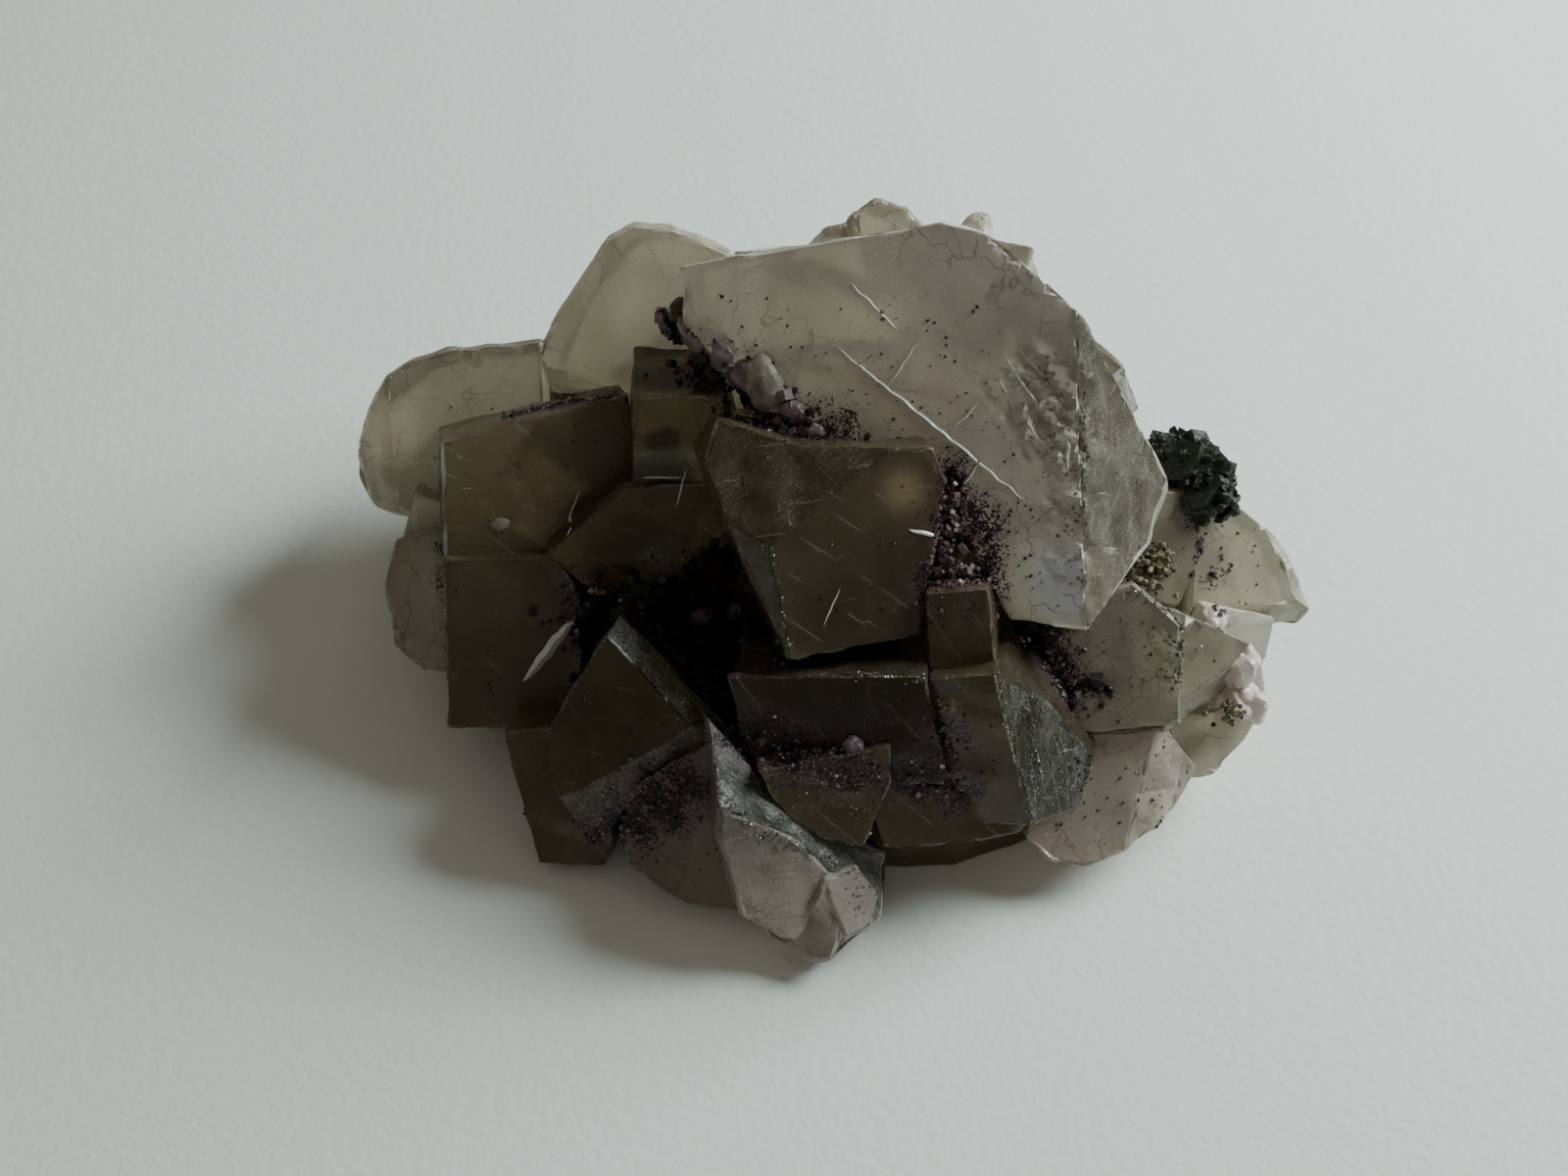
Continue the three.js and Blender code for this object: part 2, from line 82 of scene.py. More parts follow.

# Each crystal is a block grown back from its showing face.
# at: a point of that face. looks: degrees round from the front to the right, and degrees up.
# outline: the face's corners, right and up on it. depth: how far back the block reaches.
# breaks: a line on the face from one point to another, right of which it falls away by so many degrees,
# past 90 in under the face, and how light or in what colour the broken face is painted, partly its own
# colour, partly painted light and shade.
# zones: right, up, reach and how light the stone is painted around that point, partly its own tone, partly
# painted light and shade.
# torn: right, up, reach and depth of splintered places.
# sideFrost, frost, faceFrost: how frosted its sides, its broken faces and its showing face are.
# its right shade: painted shade that darkens the sides looking right, toward the key lamp. edge, cell: its
# own in place of growth's.
crystals = {
    "crown": dict(
        at=(4, 2.5, 38), looks=(-18, 42), depth=30, tone="lilac", frost=0.45,
        zones=[(17, 9, 9, 0.7), (-2, 11, 9, 1.15), (21, -11, 7, 1.6), (-17, 7, 8, 0.9)], cell=0.7,
        torn=[(13.5, 6.5, 5.5, 0.8), (17, 2, 4.5, 0.8), (19, -4, 3, 0.6), (21, -9, 3, 0.5)],
        outline=[(-23, 10.5), (1.5, 20), (5.5, 20), (13.2, 17), (17.8, 13.6), (22.8, 9), (27.8, 3.6),
                 (27.5, -6), (24, -15), (16.5, -16), (4.5, -2.5), (-6.5, -2.5), (-21.5, 4.5)],
        # the first break is painted darker, as shade on the flank that faces the key lamp; the two under the
        # face are painted a little darker as shade
        breaks=[((24, -15), (16.5, 12.5), 48, (0.215, 0.195, 0.165)), ((28.6, 3), (16, 14.9), 107, 0.7),
                ((17.7, 13.7), (5.3, 20.3), 107, 0.7)],
    ),
    "back left block": dict(
        at=(-22, 23, 33), looks=(-10, 45), depth=22, tone="cream", frost=0.3, edge=0.8,
        outline=[(-9.5, -5.5), (-8, -1), (-4.5, 5.5), (-3.5, 8), (-0.5, 10), (4, 10), (10.5, 8),
                 (13.5, -8.5), (-7.5, -9)],
        breaks=[((-9, -6.5), (1.5, -8.5), 35)],
    ),
    "left block": dict(
        at=(-41.5, 15.5, 23), looks=(-8, 48), depth=17, tone="straw", frost=0.2, edge=0.8,
        zones=[(-8, 0, 6, 1.7)],
        outline=[(-10.5, -2), (-9, 3.5), (-5, 7.5), (0.5, 9.5), (9.5, 11), (11.5, -1.5), (0.5, -9),
                 (-4.5, -9.5), (-8, -8.5), (-10, -5.5)],
        breaks=[((-7, 4.5), (-4.5, -9.5), 35)],
    ),
    "left shoulder": dict(
        at=(-30.5, 5.5, 27.5), looks=(14, 38), depth=18, tone="smoky",
        outline=[(-9, 5), (10.5, 6.5), (10.5, -5.5), (0.5, -9.5), (-11, -7.5)],
    ),
    "left front block": dict(
        at=(-34.5, -7, 15.5), looks=(-4, 36), depth=16, tone="smoky",
        outline=[(-6, 8.5), (5.5, 9.5), (8.5, 4.5), (8, -9), (-5.5, -9.5)],
    ),
    "left rim block": dict(
        at=(-44.5, 0.5, 13), looks=(-25, 38), depth=14, tone="grey", zones=[(0, 1, 9, 1.35)],
        outline=[(-4, 5.5), (1.5, 9.5), (7, -6), (2.5, -7), (-1.5, -5.5), (-4, 1)],
    ),
    "dark cube": dict(
        at=(-15.5, 5, 32.5), looks=(3, 24), depth=18, tone="olive", zones=[(0, -10, 7, 0.5)],
        outline=[(-5, 5), (4, 5), (6, -1.5), (6, -10), (-0.5, -14.5), (-6, -11.5)],
    ),
    "tilted slab": dict(
        at=(-20.5, -1, 23.5), looks=(10, 30), depth=15, tone="olive", frost=0.3,
        zones=[(-2, 0, 11, 0.6)],
        outline=[(-9, 0.5), (-0.5, 6.5), (11, 5.5), (11, 1.5), (4.5, -4), (-0.5, -7), (-5.5, -3.5)],
        # its break is painted lighter, as light on a face that lies in shade among the blocks
        breaks=[((-6, -3.5), (11, 4), 8, 2.6)],
    ),
    "middle cube": dict(
        at=(1, -10, 33), looks=(12, 36), depth=24, tone="smoky", frost=0.4,
        zones=[(5.6, 5.4, 3.2, 3.2), (6, -3, 8, 0.5), (-3, -6, 7, 0.6), (-5, 3, 4, 0.85)],
        outline=[(-11, 4), (-12, 9.5), (-10, 13), (-3, 10.3), (9, 9), (10, 5.5), (7, -4.5), (5.5, -9.5),
                 (-7.5, -9.5)],
        breaks=[((4.5, 9), (-8, 2), 42, (0.72, 0.72, 0.64)), ((-8, 1.5), (-7, -10), 45, 0.75)],
    ),
    "lower middle cube": dict(
        at=(-0.5, -21, 19.5), looks=(-10, 30), depth=20, tone="olive", sideFrost=0.5,
        zones=[(2, -1, 14, 0.6)],
        outline=[(-11, 4), (8, 7), (11.5, -4), (-8, -7.5)],
    ),
    "small cube": dict(
        at=(11.5, -15, 27), looks=(-12, 33), depth=14, tone="smoky",
        outline=[(-4, 3.5), (2, 5), (4, -3), (-2.5, -5)],
    ),
    "lower right cube": dict(
        at=(12, -22.5, 18.5), looks=(-19, 24), depth=16, tone="smoky", frost=0.6, paintedRightShade=0.45,
        outline=[(-5, 6.5), (1.5, 9), (6.5, 5), (11.5, -1), (11.5, -6), (8, -6.5), (0, -9)],
        breaks=[((8, -6.5), (1.5, 9), 52, (0.30, 0.34, 0.29))],
    ),
    "bottom left cube": dict(
        at=(-22.5, -19, 16.5), looks=(-5, 40), depth=18, tone="olive", frost=0.9,
        zones=[(0, 2, 12, 0.62)],
        outline=[(0, 11.5), (11.5, 0.5), (-2, -12.5), (-6.5, -5), (-6.5, -0.5)],
        # the second break is painted lighter, as light in a shaded crevice
        breaks=[((9.5, -0.5), (-1.5, 10.5), 45, 1.3), ((-5.5, -7.5), (9.5, 2.2), 18, 1.7)],
    ),
    "foot block": dict(
        at=(-29, -21, 8), looks=(-8, 33), depth=16, tone="smoky",
        outline=[(-5.5, 6.5), (3, 8), (7.5, 2.5), (6, -7), (-1, -7.5)],
    ),
    "bottom cube": dict(
        at=(-15, -26, 9), looks=(-16, 36), depth=16, tone="dusk", zones=[(4, -5, 9, 1.35)],
        outline=[(-6.5, 3.5), (2, 11), (6.5, 7), (7, 0.5), (7, -7), (1, -7.5), (-5.5, -5), (-7, -1.5)],
    ),
    "bottom tip": dict(
        at=(-2.5, -32.5, 7.5), looks=(14, 34), depth=14, tone="tip", frost=0.8, faceFrost=0.5,
        paintedRightShade=0.16, edge=0.6, zones=[(-7, 12, 12, 0.4), (2, -3, 7, 1.7)],
        torn=[(2, -2, 5, 0.6), (-3, 4, 4, 0.4)],
        outline=[(-7, 18.5), (-0.5, 8), (8.5, 1), (6.5, -4), (2.5, -6), (0, -7.5), (-5, -2.5),
                 (-7.5, -0.5), (-8.5, 8.5)],
        breaks=[((-1.2, 7), (-7.7, 17.2), 40, (0.19, 0.22, 0.18)),
                ((8, 0.6), (-1.6, 7), 40, (0.3, 0.33, 0.28))],
    ),
    "tip end": dict(
        at=(-3, -34.2, 5.6), looks=(-14, 46), depth=8, tone="tip", frost=0.8, faceFrost=0.4, edge=0.9,
        outline=[(-4.4, 1.5), (0.5, 3.6), (3.8, 1.4), (3, -3.4), (-1.4, -4.6), (-4.6, -2)],
        breaks=[((3.6, -3), (2.6, 3), 30, 1.2), ((-4, -1.8), (2.6, -3.9), 25)],
    ),
    "tip corner": dict(
        at=(1.2, -32.2, 6.9), looks=(42, 42), depth=8, tone="tip", frost=0.8, faceFrost=0.4, edge=1.3,
        outline=[(-4, 1.6), (-1.4, 3.6), (2.4, 2.6), (3, -1.8), (0.8, -4), (-3.8, -3)],
        breaks=[((-2.2, 3.4), (-2.8, -3.4), 30, 1.2)],
    ),
    "front ledge": dict(
        at=(-1, -26, 15.5), looks=(4, 30), depth=14, tone="smoky", torn=[(1, 1, 5, 0.3)],
        outline=[(-7, 3), (6, 5), (6, 1), (3, -6), (-1.5, -4.5), (-4.5, -2)],
    ),
    "front rim": dict(
        at=(6.5, -27, 12), looks=(6, 34), depth=14, tone="smoky",
        outline=[(-4, 4.5), (3.5, 4), (12, 0), (11.5, -2), (7, -2.5), (-2.5, -2.5)],
    ),
    "right wedge": dict(
        at=(28.5, -14.5, 20), looks=(-4, 40), depth=18, tone="grey", faceFrost=0.3,
        zones=[(-3, 3, 8, 1.08)], torn=[(3, 3, 4, 0.6)],
        outline=[(0, 9), (5, 5), (5.5, -5), (-6.5, -6.5), (-9, 4.5)],
    ),
    "right wedge flank": dict(
        at=(37.5, -11.5, 18.5), looks=(35, 45), depth=18, tone="grey", frost=0.8, sideFrost=0.6,
        zones=[(1, 2, 9, 0.55)], torn=[(-1, 3, 5, 0.6)],
        outline=[(-5.5, 10.5), (5.5, -1), (4.5, -3.5), (-7.5, -5), (-5, 3.5)],
        breaks=[((-7, -2.5), (4, -1.5), 45)],
    ),
    "lower right block": dict(
        at=(28, -22, 9.5), looks=(5, 42), depth=16, tone="mauve", frost=0.35, edge=1.4,
        zones=[(0, 1, 16, 0.62)], torn=[(5, 1, 4, 0.4)],
        outline=[(-5, 7), (5.5, 6.5), (9, 1.5), (6, -2.5), (1, -5.5), (-3.5, -7), (-7, -6), (-9.5, -3.5),
                 (-8, 2)],
        breaks=[((0.5, -5.5), (4, 6.5), 30)],
    ),
    "far right cube": dict(
        at=(43, -1, 20.5), looks=(12, 45), depth=12, tone="cream", frost=0.3, torn=[(2, -2, 3.5, 0.4)],
        zones=[(0, 0, 14, 0.75)],
        outline=[(-5.5, 7.5), (-1.5, 7), (3, 2.5), (5.5, -5.5), (4.5, -7), (-8, -5)],
        breaks=[((4.5, -5.5), (1, 6), 40), ((-7.5, -3.5), (4.5, -4.5), 45)],
    ),
    "right low cube": dict(
        at=(39.5, -15, 8), looks=(15, 38), depth=12, tone="cream", zones=[(0, 1, 9, 1.25)],
        outline=[(-5.5, 4.5), (5.5, 4), (3, 0.5), (-1, -2.5), (-5, -2.5)],
    ),
    "right pale block": dict(
        at=(41.5, -8.5, 13.5), looks=(20, 38), depth=14, tone="lilac",
        outline=[(-3, 7.5), (4.5, 4), (2.5, -0.5), (2, -4.5), (-1.5, -7), (-8, -4)],
    ),
    "upper ledge": dict(
        at=(25.5, -12, 20.5), looks=(0, 40), depth=10, tone="grey",
        outline=[(-4, 2.5), (2, 2.5), (3, -0.5), (3, -1.5), (-5, -2.5)],
    ),
    "neck block": dict(
        at=(32.5, 0, 28), looks=(25, 35), depth=16, tone="grey",
        outline=[(-3.5, 3), (3.5, 1), (3.5, -5.5), (-0.5, -10.5), (-5.5, -7.5)],
    ),
    "back wall": dict(
        at=(9, 37, 27), looks=(168, 24), depth=22, tone="grey",
        outline=[(-13, 10), (9, 12), (14, 4), (13, -9), (-9, -12), (-15, -3)],
        breaks=[((13, -8), (6, 12), 35)],
    ),
    "back top cube": dict(
        at=(-3, 30, 36.5), looks=(-172, 48), depth=16, tone="lilac",
        outline=[(-9, 6), (6, 8), (9, -5), (-7, -8)],
    ),
    "back left wall": dict(
        at=(-19, 35, 22), looks=(-162, 28), depth=20, tone="grey",
        outline=[(-9, 8), (7, 10), (10, -7), (-2, -11), (-10, -6)],
        breaks=[((-10, -4), (9, -6), 40)],
    ),
    "back right cube": dict(
        at=(27, 27, 25), looks=(128, 30), depth=20, tone="grey",
        outline=[(-9, 7), (5, 10), (10, -6), (-6, -9)],
        breaks=[((9, -4), (4, 9), 45)],
    ),
    "back right foot": dict(
        at=(28, 28, 9), looks=(142, 12), depth=20, tone="smoky",
        outline=[(-8, 7), (6, 8), (9, -3), (5, -9), (-8, -9)],
    ),
    "back foot": dict(
        at=(4, 38, 10), looks=(-176, 8), depth=20, tone="smoky",
        outline=[(-11, 5), (-2, 9), (10, 6), (11, -10), (-10, -10)],
        breaks=[((-11, 2), (10, 3), 30)],
    ),
    "back left foot": dict(
        at=(-25, 29, 9), looks=(-142, 10), depth=20, tone="smoky",
        outline=[(-9, 6), (6, 8), (9, -9), (-8, -9)],
    ),
    "left end cube": dict(
        at=(-46, 14, 13), looks=(-98, 18), depth=18, tone="grey",
        outline=[(-7, 5), (4, 7), (7, -4), (-4, -7)],
    ),
    "right end cube": dict(
        at=(41, 11, 14), looks=(80, 16), depth=20, tone="grey",
        outline=[(-9, 6), (5, 8), (9, -5), (-5, -10)],
        breaks=[((7, -6), (4, 8), 40)],
    ),
    "back knob": dict(
        at=(4.5, 30, 40), looks=(20, 60), depth=12, tone="grey", edge=1,
        outline=[(-3.5, -2), (-3, 1.5), (0.5, 3), (4, 1), (5, -3)],
    ),
    "back right knob": dict(
        at=(15, 31, 37.5), looks=(-20, 55), depth=12, tone="cream", edge=0.9,
        outline=[(-4.5, -7), (-1.5, 2), (0.5, 2.5), (3.5, -7)],
    ),
    "back shoulder cube": dict(
        at=(19, 28, 27.5), looks=(152, 52), depth=14, tone="grey",
        outline=[(-6, 5), (4, 6.5), (7, -3), (-3, -6.5)],
    ),
    "back small cube": dict(
        at=(3, 40, 30), looks=(-165, 40), depth=12, tone="grey",
        outline=[(-5, 4), (3, 6), (6, -3), (-3, -5.5)],
        breaks=[((5, -2), (1, 6), 45)],
    ),
    "back low cube": dict(
        at=(17, 42, 13), looks=(155, 22), depth=12, tone="smoky",
        outline=[(-6, 5), (5, 6), (6, -6), (-5, -6.5)],
    ),
    "left back low cube": dict(
        at=(-36, 25, 13), looks=(-125, 25), depth=14, tone="grey",
        outline=[(-6, 5), (5, 6.5), (7, -4), (-5, -6.5)],
    ),
    "right back low cube": dict(
        at=(39, 20, 9), looks=(112, 14), depth=14, tone="smoky",
        outline=[(-6, 4), (4, 6), (6, -5), (-4, -7)],
    ),
    "footing": dict(  # the grown-together mass that the others stand in
        at=(0, 3, 11), looks=(0, 90), depth=11, tone="smoky",
        outline=[(-29, -14), (-20, -27), (12, -27), (29, -20), (33, 8), (22, 26), (-12, 28), (-29, 20)],
    ),
}

# how every crystal is finished
growth = dict(
    edge=0.28, roundFrom=0.5,  # worn edge, and the width from which it is rounded
    shortest=0.5,  # shorter edges go before the wear
    cell=0.9,  # the grid that the relief is carried on
    wave=0.14, waveSize=7,  # slow waviness of the faces
    plate=0.15, plates=9, plateReach=(0.15, 0.5),  # raised growth plates, aligned with the crystal
    sideWave=0.4, sideSize=5,  # rougher sides
    raggedStep=0.5, raggedSize=2.8, raggedLevels=4,  # steps on broken faces
    grain=0.03,
    frosts=dict(sideFrost=0.1, frost=0.5, faceFrost=0),  # unless the crystal has its own
    # how much of a normal looks outward on a broken face, on a showing one and on a level one
    leaning=0.15, facing=0.97, flat=0.98,
    splintered=0.4,  # torn places are on faces that look outward more than this
    merge=0.01, sharp=24,  # of the joined cluster: corners this near are one, degrees of a hard edge
    seed=7,
)

# splintered places: the turn of the splinters on the face, how drawn out they are, their two sizes
splinters = dict(turn=(0.77, 0.64), drawn=3.2, inward=2, size=2.6, fineSize=1.1, fine=0.5, levels=5)

# how a face is told to lie on a break or to look right, where light and shade are painted, and the lightest
# tone
marks = dict(sameLie=0.94, rightward=0.2, upright=0.25, lightest=0.95)


def closeMesh(bm, mesh):
    bm.to_mesh(mesh)
    bm.free()


def openMesh(mesh):
    bm = bmesh.new()
    bm.from_mesh(mesh)
    return bm


def makeObject(name, bm, material=None):
    mesh = bpy.data.meshes.new(name)
    closeMesh(bm, mesh)
    made = bpy.data.objects.new(name, mesh)
    bpy.context.scene.collection.objects.link(made)
    if material:
        mesh.materials.append(material)
    return made


def finishPiece(piece, slot, *nodes):
    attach(piece, "root")
    if nodes:
        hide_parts(*nodes)
    print("made", piece.name, "with", len(piece.data.polygons), "faces")


def everything(bm):
    return bm.verts[:] + bm.edges[:] + bm.faces[:]


def anyTurn(rng):
    return Euler([rng.uniform(0, 2 * math.pi) for _ in range(3)]).to_matrix().to_4x4()


def drift(rng, spread):
    return Vector([rng.gauss(0, spread) for _ in range(3)])


def cutOff(bm, point, outward):
    bmesh.ops.bisect_plane(bm, geom=everything(bm), dist=1e-4, plane_co=point, plane_no=outward,
                           clear_outer=True)
    bmesh.ops.holes_fill(bm, edges=[edge for edge in bm.edges if edge.is_boundary])


def wearEdges(bm, width, segments):
    bmesh.ops.bevel(bm, geom=bm.edges[:], offset=width, segments=segments, profile=0.5, affect="EDGES",
                    material=-1, clamp_overlap=True)


def facePlace(crystal):
    turn, rise = (math.radians(angle) for angle in crystal["looks"])
    out = Vector((math.sin(turn) * math.cos(rise), -math.cos(turn) * math.cos(rise), math.sin(rise)))
    right = Vector((math.cos(turn), math.sin(turn), 0))
    place = Matrix((right, out.cross(right), out)).transposed().to_4x4()
    place.translation = Vector(crystal["at"]) * mm
    return place


# each corner of a face carries its crystal's colour with the painted light and shade of zones, breaks and
# right-looking sides, the crystal's own coordinates, and its frost
def markCorners(bm, tone, frostOf, shift=Vector((0, 0, 0)), zones=(), lies=(), paintedRightShade=1):
    toneLayer = bm.loops.layers.float_color.new("tone")
    ownLayer = bm.loops.layers.float_vector.new("own")
    frostLayer = bm.loops.layers.float.new("frost")
    for face in bm.faces:
        frost = frostOf(face)
        # a face on a break takes the break's painted colour, partly its own and partly painted light and
        # shade
        turned, shade = next((lie[1:] for lie in lies if lie[0].dot(face.normal) > marks["sameLie"]),
                             (None, (1, 1, 1)))
        # the sides looking right are painted darker, as shade
        if face.normal.x > marks["rightward"] and abs(face.normal.z) < marks["upright"]:
            shade = (paintedRightShade, paintedRightShade, paintedRightShade)
        for corner in face.loops:
            place = corner.vert.co
            light = 1
            # zones paint light and shade around a point, partly the stone's own tone
            for right, up, reach, change in zones:
                away = math.hypot(place.x - right, place.y - up) / reach
                light *= 1 + (change - 1) * max(0, 1 - away * away) ** 2
            colour = [min(marks["lightest"], part * share * light) for part, share in zip(tone, shade)]
            corner[toneLayer] = (*colour, tone[3])
            corner[ownLayer] = (turned @ place if turned else place) + shift
            corner[frostLayer] = frost


# cuts a break off and gives the broken face's painted colour: partly the stone's own, partly painted light
# and shade
def breakOff(bm, start, end, slope, light=1):
    along = (Vector(end) - Vector(start)).normalized()
    lean = math.radians(slope)
    outward = Vector((along.y * math.sin(lean), -along.x * math.sin(lean), math.cos(lean)))
    cutOff(bm, Vector((*start, 0)), outward)
    turn = Matrix.Rotation(-math.atan2(along.y, along.x), 3, "Z")
    return outward, turn, light if isinstance(light, tuple) else (light, light, light)


def sliceGrid(bm, cell):
    for axis in range(3):
        normal = Vector([axis == 0, axis == 1, axis == 2])
        places = [vert.co[axis] for vert in bm.verts]
        for step in range(math.ceil(min(places) / cell), math.floor(max(places) / cell) + 1):
            bmesh.ops.bisect_plane(bm, geom=everything(bm), dist=1e-3, plane_co=normal * step * cell,
                                   plane_no=normal)


def growthPlates(crystal, rng):
    spans = [(min(places), max(places)) for places in zip(*crystal["outline"])]
    plates = []
    for _ in range(growth["plates"]):
        middle = [rng.uniform(*span) for span in spans]
        reach = [rng.uniform(*growth["plateReach"]) * (high - low) for low, high in spans]
        plates.append((middle, reach, rng.uniform(-0.6, 1) * growth["plate"]))
    return plates


def torn(point, places):
    ahead, aside = splinters["turn"]
    lie = Vector((point.x * ahead - point.y * aside,
                  (point.x * aside + point.y * ahead) * splinters["drawn"],
                  point.z * splinters["inward"]))
    moved = 0
    for right, up, reach, depth in places:
        away = math.hypot(point.x - right, point.y - up) / reach
        if away < 1:
            level = (noise.noise(lie / splinters["size"])
                     + splinters["fine"] * noise.noise(lie / splinters["fineSize"]))
            levels = splinters["levels"]
            moved += depth * min(1, 2 - 2 * away) * math.floor(level * levels) / levels
    return moved


def relief(point, normal, plates, shift):
    moved = growth["wave"] * noise.noise(point / growth["waveSize"] + shift)
    if abs(normal.z) > growth["flat"]:
        for middle, reach, height in plates:
            if abs(point.x - middle[0]) < reach[0] and abs(point.y - middle[1]) < reach[1]:
                moved += height
    elif normal.z > growth["leaning"]:
        level = noise.noise(point / growth["raggedSize"] + shift)
        levels = growth["raggedLevels"]
        moved += growth["raggedStep"] * (math.floor(level * levels) / levels)
    else:
        moved += growth["sideWave"] * noise.noise(point / growth["sideSize"] - shift)
    return moved + growth["grain"] * noise.noise(point * 2 + shift)


def growCrystal(name, crystal, rng):
    bm = bmesh.new()
    face = bm.faces.new([bm.verts.new((*corner, 0)) for corner in crystal["outline"]])
    grown = bmesh.ops.extrude_face_region(bm, geom=[face])
    behind = [item for item in grown["geom"] if isinstance(item, bmesh.types.BMVert)]
    bmesh.ops.translate(bm, verts=behind, vec=(0, 0, -crystal["depth"]))
    bmesh.ops.recalc_face_normals(bm, faces=bm.faces[:])
    lies = [breakOff(bm, *line) for line in crystal.get("breaks", [])]
    bmesh.ops.dissolve_degenerate(bm, dist=growth["shortest"], edges=bm.edges[:])
    edge = crystal.get("edge", growth["edge"])
    wearEdges(bm, edge, 2 if edge < growth["roundFrom"] else 4)
    sliceGrid(bm, crystal.get("cell", growth["cell"]))
    bmesh.ops.recalc_face_normals(bm, faces=bm.faces[:])
    bm.normal_update()

    plates = growthPlates(crystal, rng)
    shift = Vector([rng.uniform(0, 90) for _ in range(3)])
    frosts = [crystal.get(kind, usual) for kind, usual in growth["frosts"].items()]
    levels = (growth["leaning"], growth["facing"])
    markCorners(bm, tones[crystal["tone"]],
                lambda part: frosts[sum(abs(part.normal.z) > level for level in levels)],
                shift, crystal.get("zones", ()), lies, crystal.get("paintedRightShade", 1))
    places = crystal.get("torn", ())
    moves = []
    for vert in bm.verts:
        height = relief(vert.co, vert.normal, plates, shift)
        if vert.normal.z > growth["splintered"]:
            height += torn(vert.co, places)
        moves.append(vert.normal * height)
    for vert, move in zip(bm.verts, moves):
        vert.co += move
    bm.transform(facePlace(crystal) @ Matrix.Scale(mm, 4))
    return makeObject(name, bm)


# groups of small worn crystals at the right: middle, sizes, how many
paleKnobs = dict(
    tone="pink", frost=0.3, light=(0.8, 1.15), edge=0.34, uneven=0.18, stray=0.8, spread=0.6, seed=9,
    groups=[((40.6, -10.4, 15.6), (2.4, 3.2), 7), ((40.8, -12.8, 12.8), (2.2, 3), 7),
            ((38, -7, 19), (1.8, 2.6), 4)],
)


def growKnobs(settings):
    rng = random.Random(settings["seed"])
    *colour, clear = tones[settings["tone"]]
    knobs = []
    for middle, sizes, count in settings["groups"]:
        for _ in range(count):
            side = rng.uniform(*sizes)
            bm = bmesh.new()
            bmesh.ops.create_cube(bm, size=side)
            wearEdges(bm, settings["edge"] * side, 3)
            bmesh.ops.subdivide_edges(bm, edges=bm.edges[:], cuts=1, use_grid_fill=True)
            bm.normal_update()
            light = rng.uniform(*settings["light"])
            markCorners(bm, (*(part * light for part in colour), clear), lambda part: settings["frost"])
            seed = Vector((len(knobs), 0, 0))
            for vert in bm.verts:
                vert.co += vert.normal * settings["uneven"] * side * noise.noise(vert.co / side * 2 + seed)
            place = (Vector(middle) + drift(rng, settings["stray"]) * settings["spread"]) * mm
            bm.transform(Matrix.Translation(place) @ anyTurn(rng) @ Matrix.Scale(mm, 4))
            knobs.append(makeObject("knob", bm))
    return knobs


def combine(base, tools, operation):
    group = bpy.data.collections.new("tools")
    for tool in tools:
        group.objects.link(tool)
    joint = base.modifiers.new("combine", "BOOLEAN")
    joint.operation = operation
    joint.solver = "MANIFOLD"
    joint.operand_type = "COLLECTION"
    joint.collection = group
    seen = base.evaluated_get(bpy.context.evaluated_depsgraph_get())
    mesh = bpy.data.meshes.new_from_object(seen)
    base.modifiers.clear()
    base.data = mesh
    bpy.data.collections.remove(group)
    for tool in tools:
        bpy.data.objects.remove(tool)


# The crusts' routes through the hollow and the seams. room: how far the hollow is cut around the route.
# layers: the crystals scattered along it, as how many, spread, sizes, colours, and whether they heap up
# around the route instead of sitting on the stone.
crusts = dict(
    hollow_crust=dict(
        room=2.3, route=[(-25, -6, 17), (-17, -3, 15), (-12, 0, 16), (-8, -4, 16), (-12, -7, 13),
                         (-15, -12, 12), (-11, -14, 12)],
        layers=[(140, 4.2, (0.9, 2.2), "deep"), (3000, 4.8, (0.2, 1.0), "deep"),
                (260, 4.8, (0.3, 1), "purple")], seed=21),
    crown_crust=dict(
        room=1.3, route=[(-17, 15.5, 39), (-14, 12.5, 38), (-10, 9.5, 37.5), (-7, 6, 37), (-4, 3.5, 35.5),
                         (0, 1.5, 35)],
        layers=[(60, 1.5, (0.7, 1.6), "rose", True), (160, 1.8, (0.4, 1.2), "purple", True),
                (1700, 2.3, (0.12, 0.6), "purple")], seed=22),
    seam_crust=dict(
        room=1.2, route=[(10.5, -2.5, 35), (10.5, -6, 32), (10, -9, 29.5), (13, -10, 29)],
        layers=[(120, 1.3, (0.3, 0.9), "rose", True), (700, 2, (0.12, 0.5), "rose"),
                (500, 1.9, (0.12, 0.4), "purple")], seed=23),
    ledge_crust=dict(
        room=0.9, route=[(19, -10.5, 23), (21.5, -12, 20.5), (22, -14.5, 18), (26.5, -14.5, 18)],
        layers=[(40, 1.4, (0.7, 1.4), "deep"), (1200, 1.6, (0.15, 0.6), "deep"), (60, 2, (0.4, 1), "rose")],
        seed=24),
)


def alongRoute(route, share):
    steps = [(Vector(b) - Vector(a)).length for a, b in zip(route, route[1:])]
    left = share * sum(steps)
    for a, b, step in zip(route, route[1:], steps):
        if left <= step:
            return Vector(a).lerp(Vector(b), left / step)
        left -= step
    return Vector(route[-1])


# the balls that the hollows are cut with, so many to each point of a route
hollowCut = dict(tone="dusk", frost=0.2, perPoint=2.5, vary=(0.8, 1.15), uneven=0.6, unevenSize=1.5)


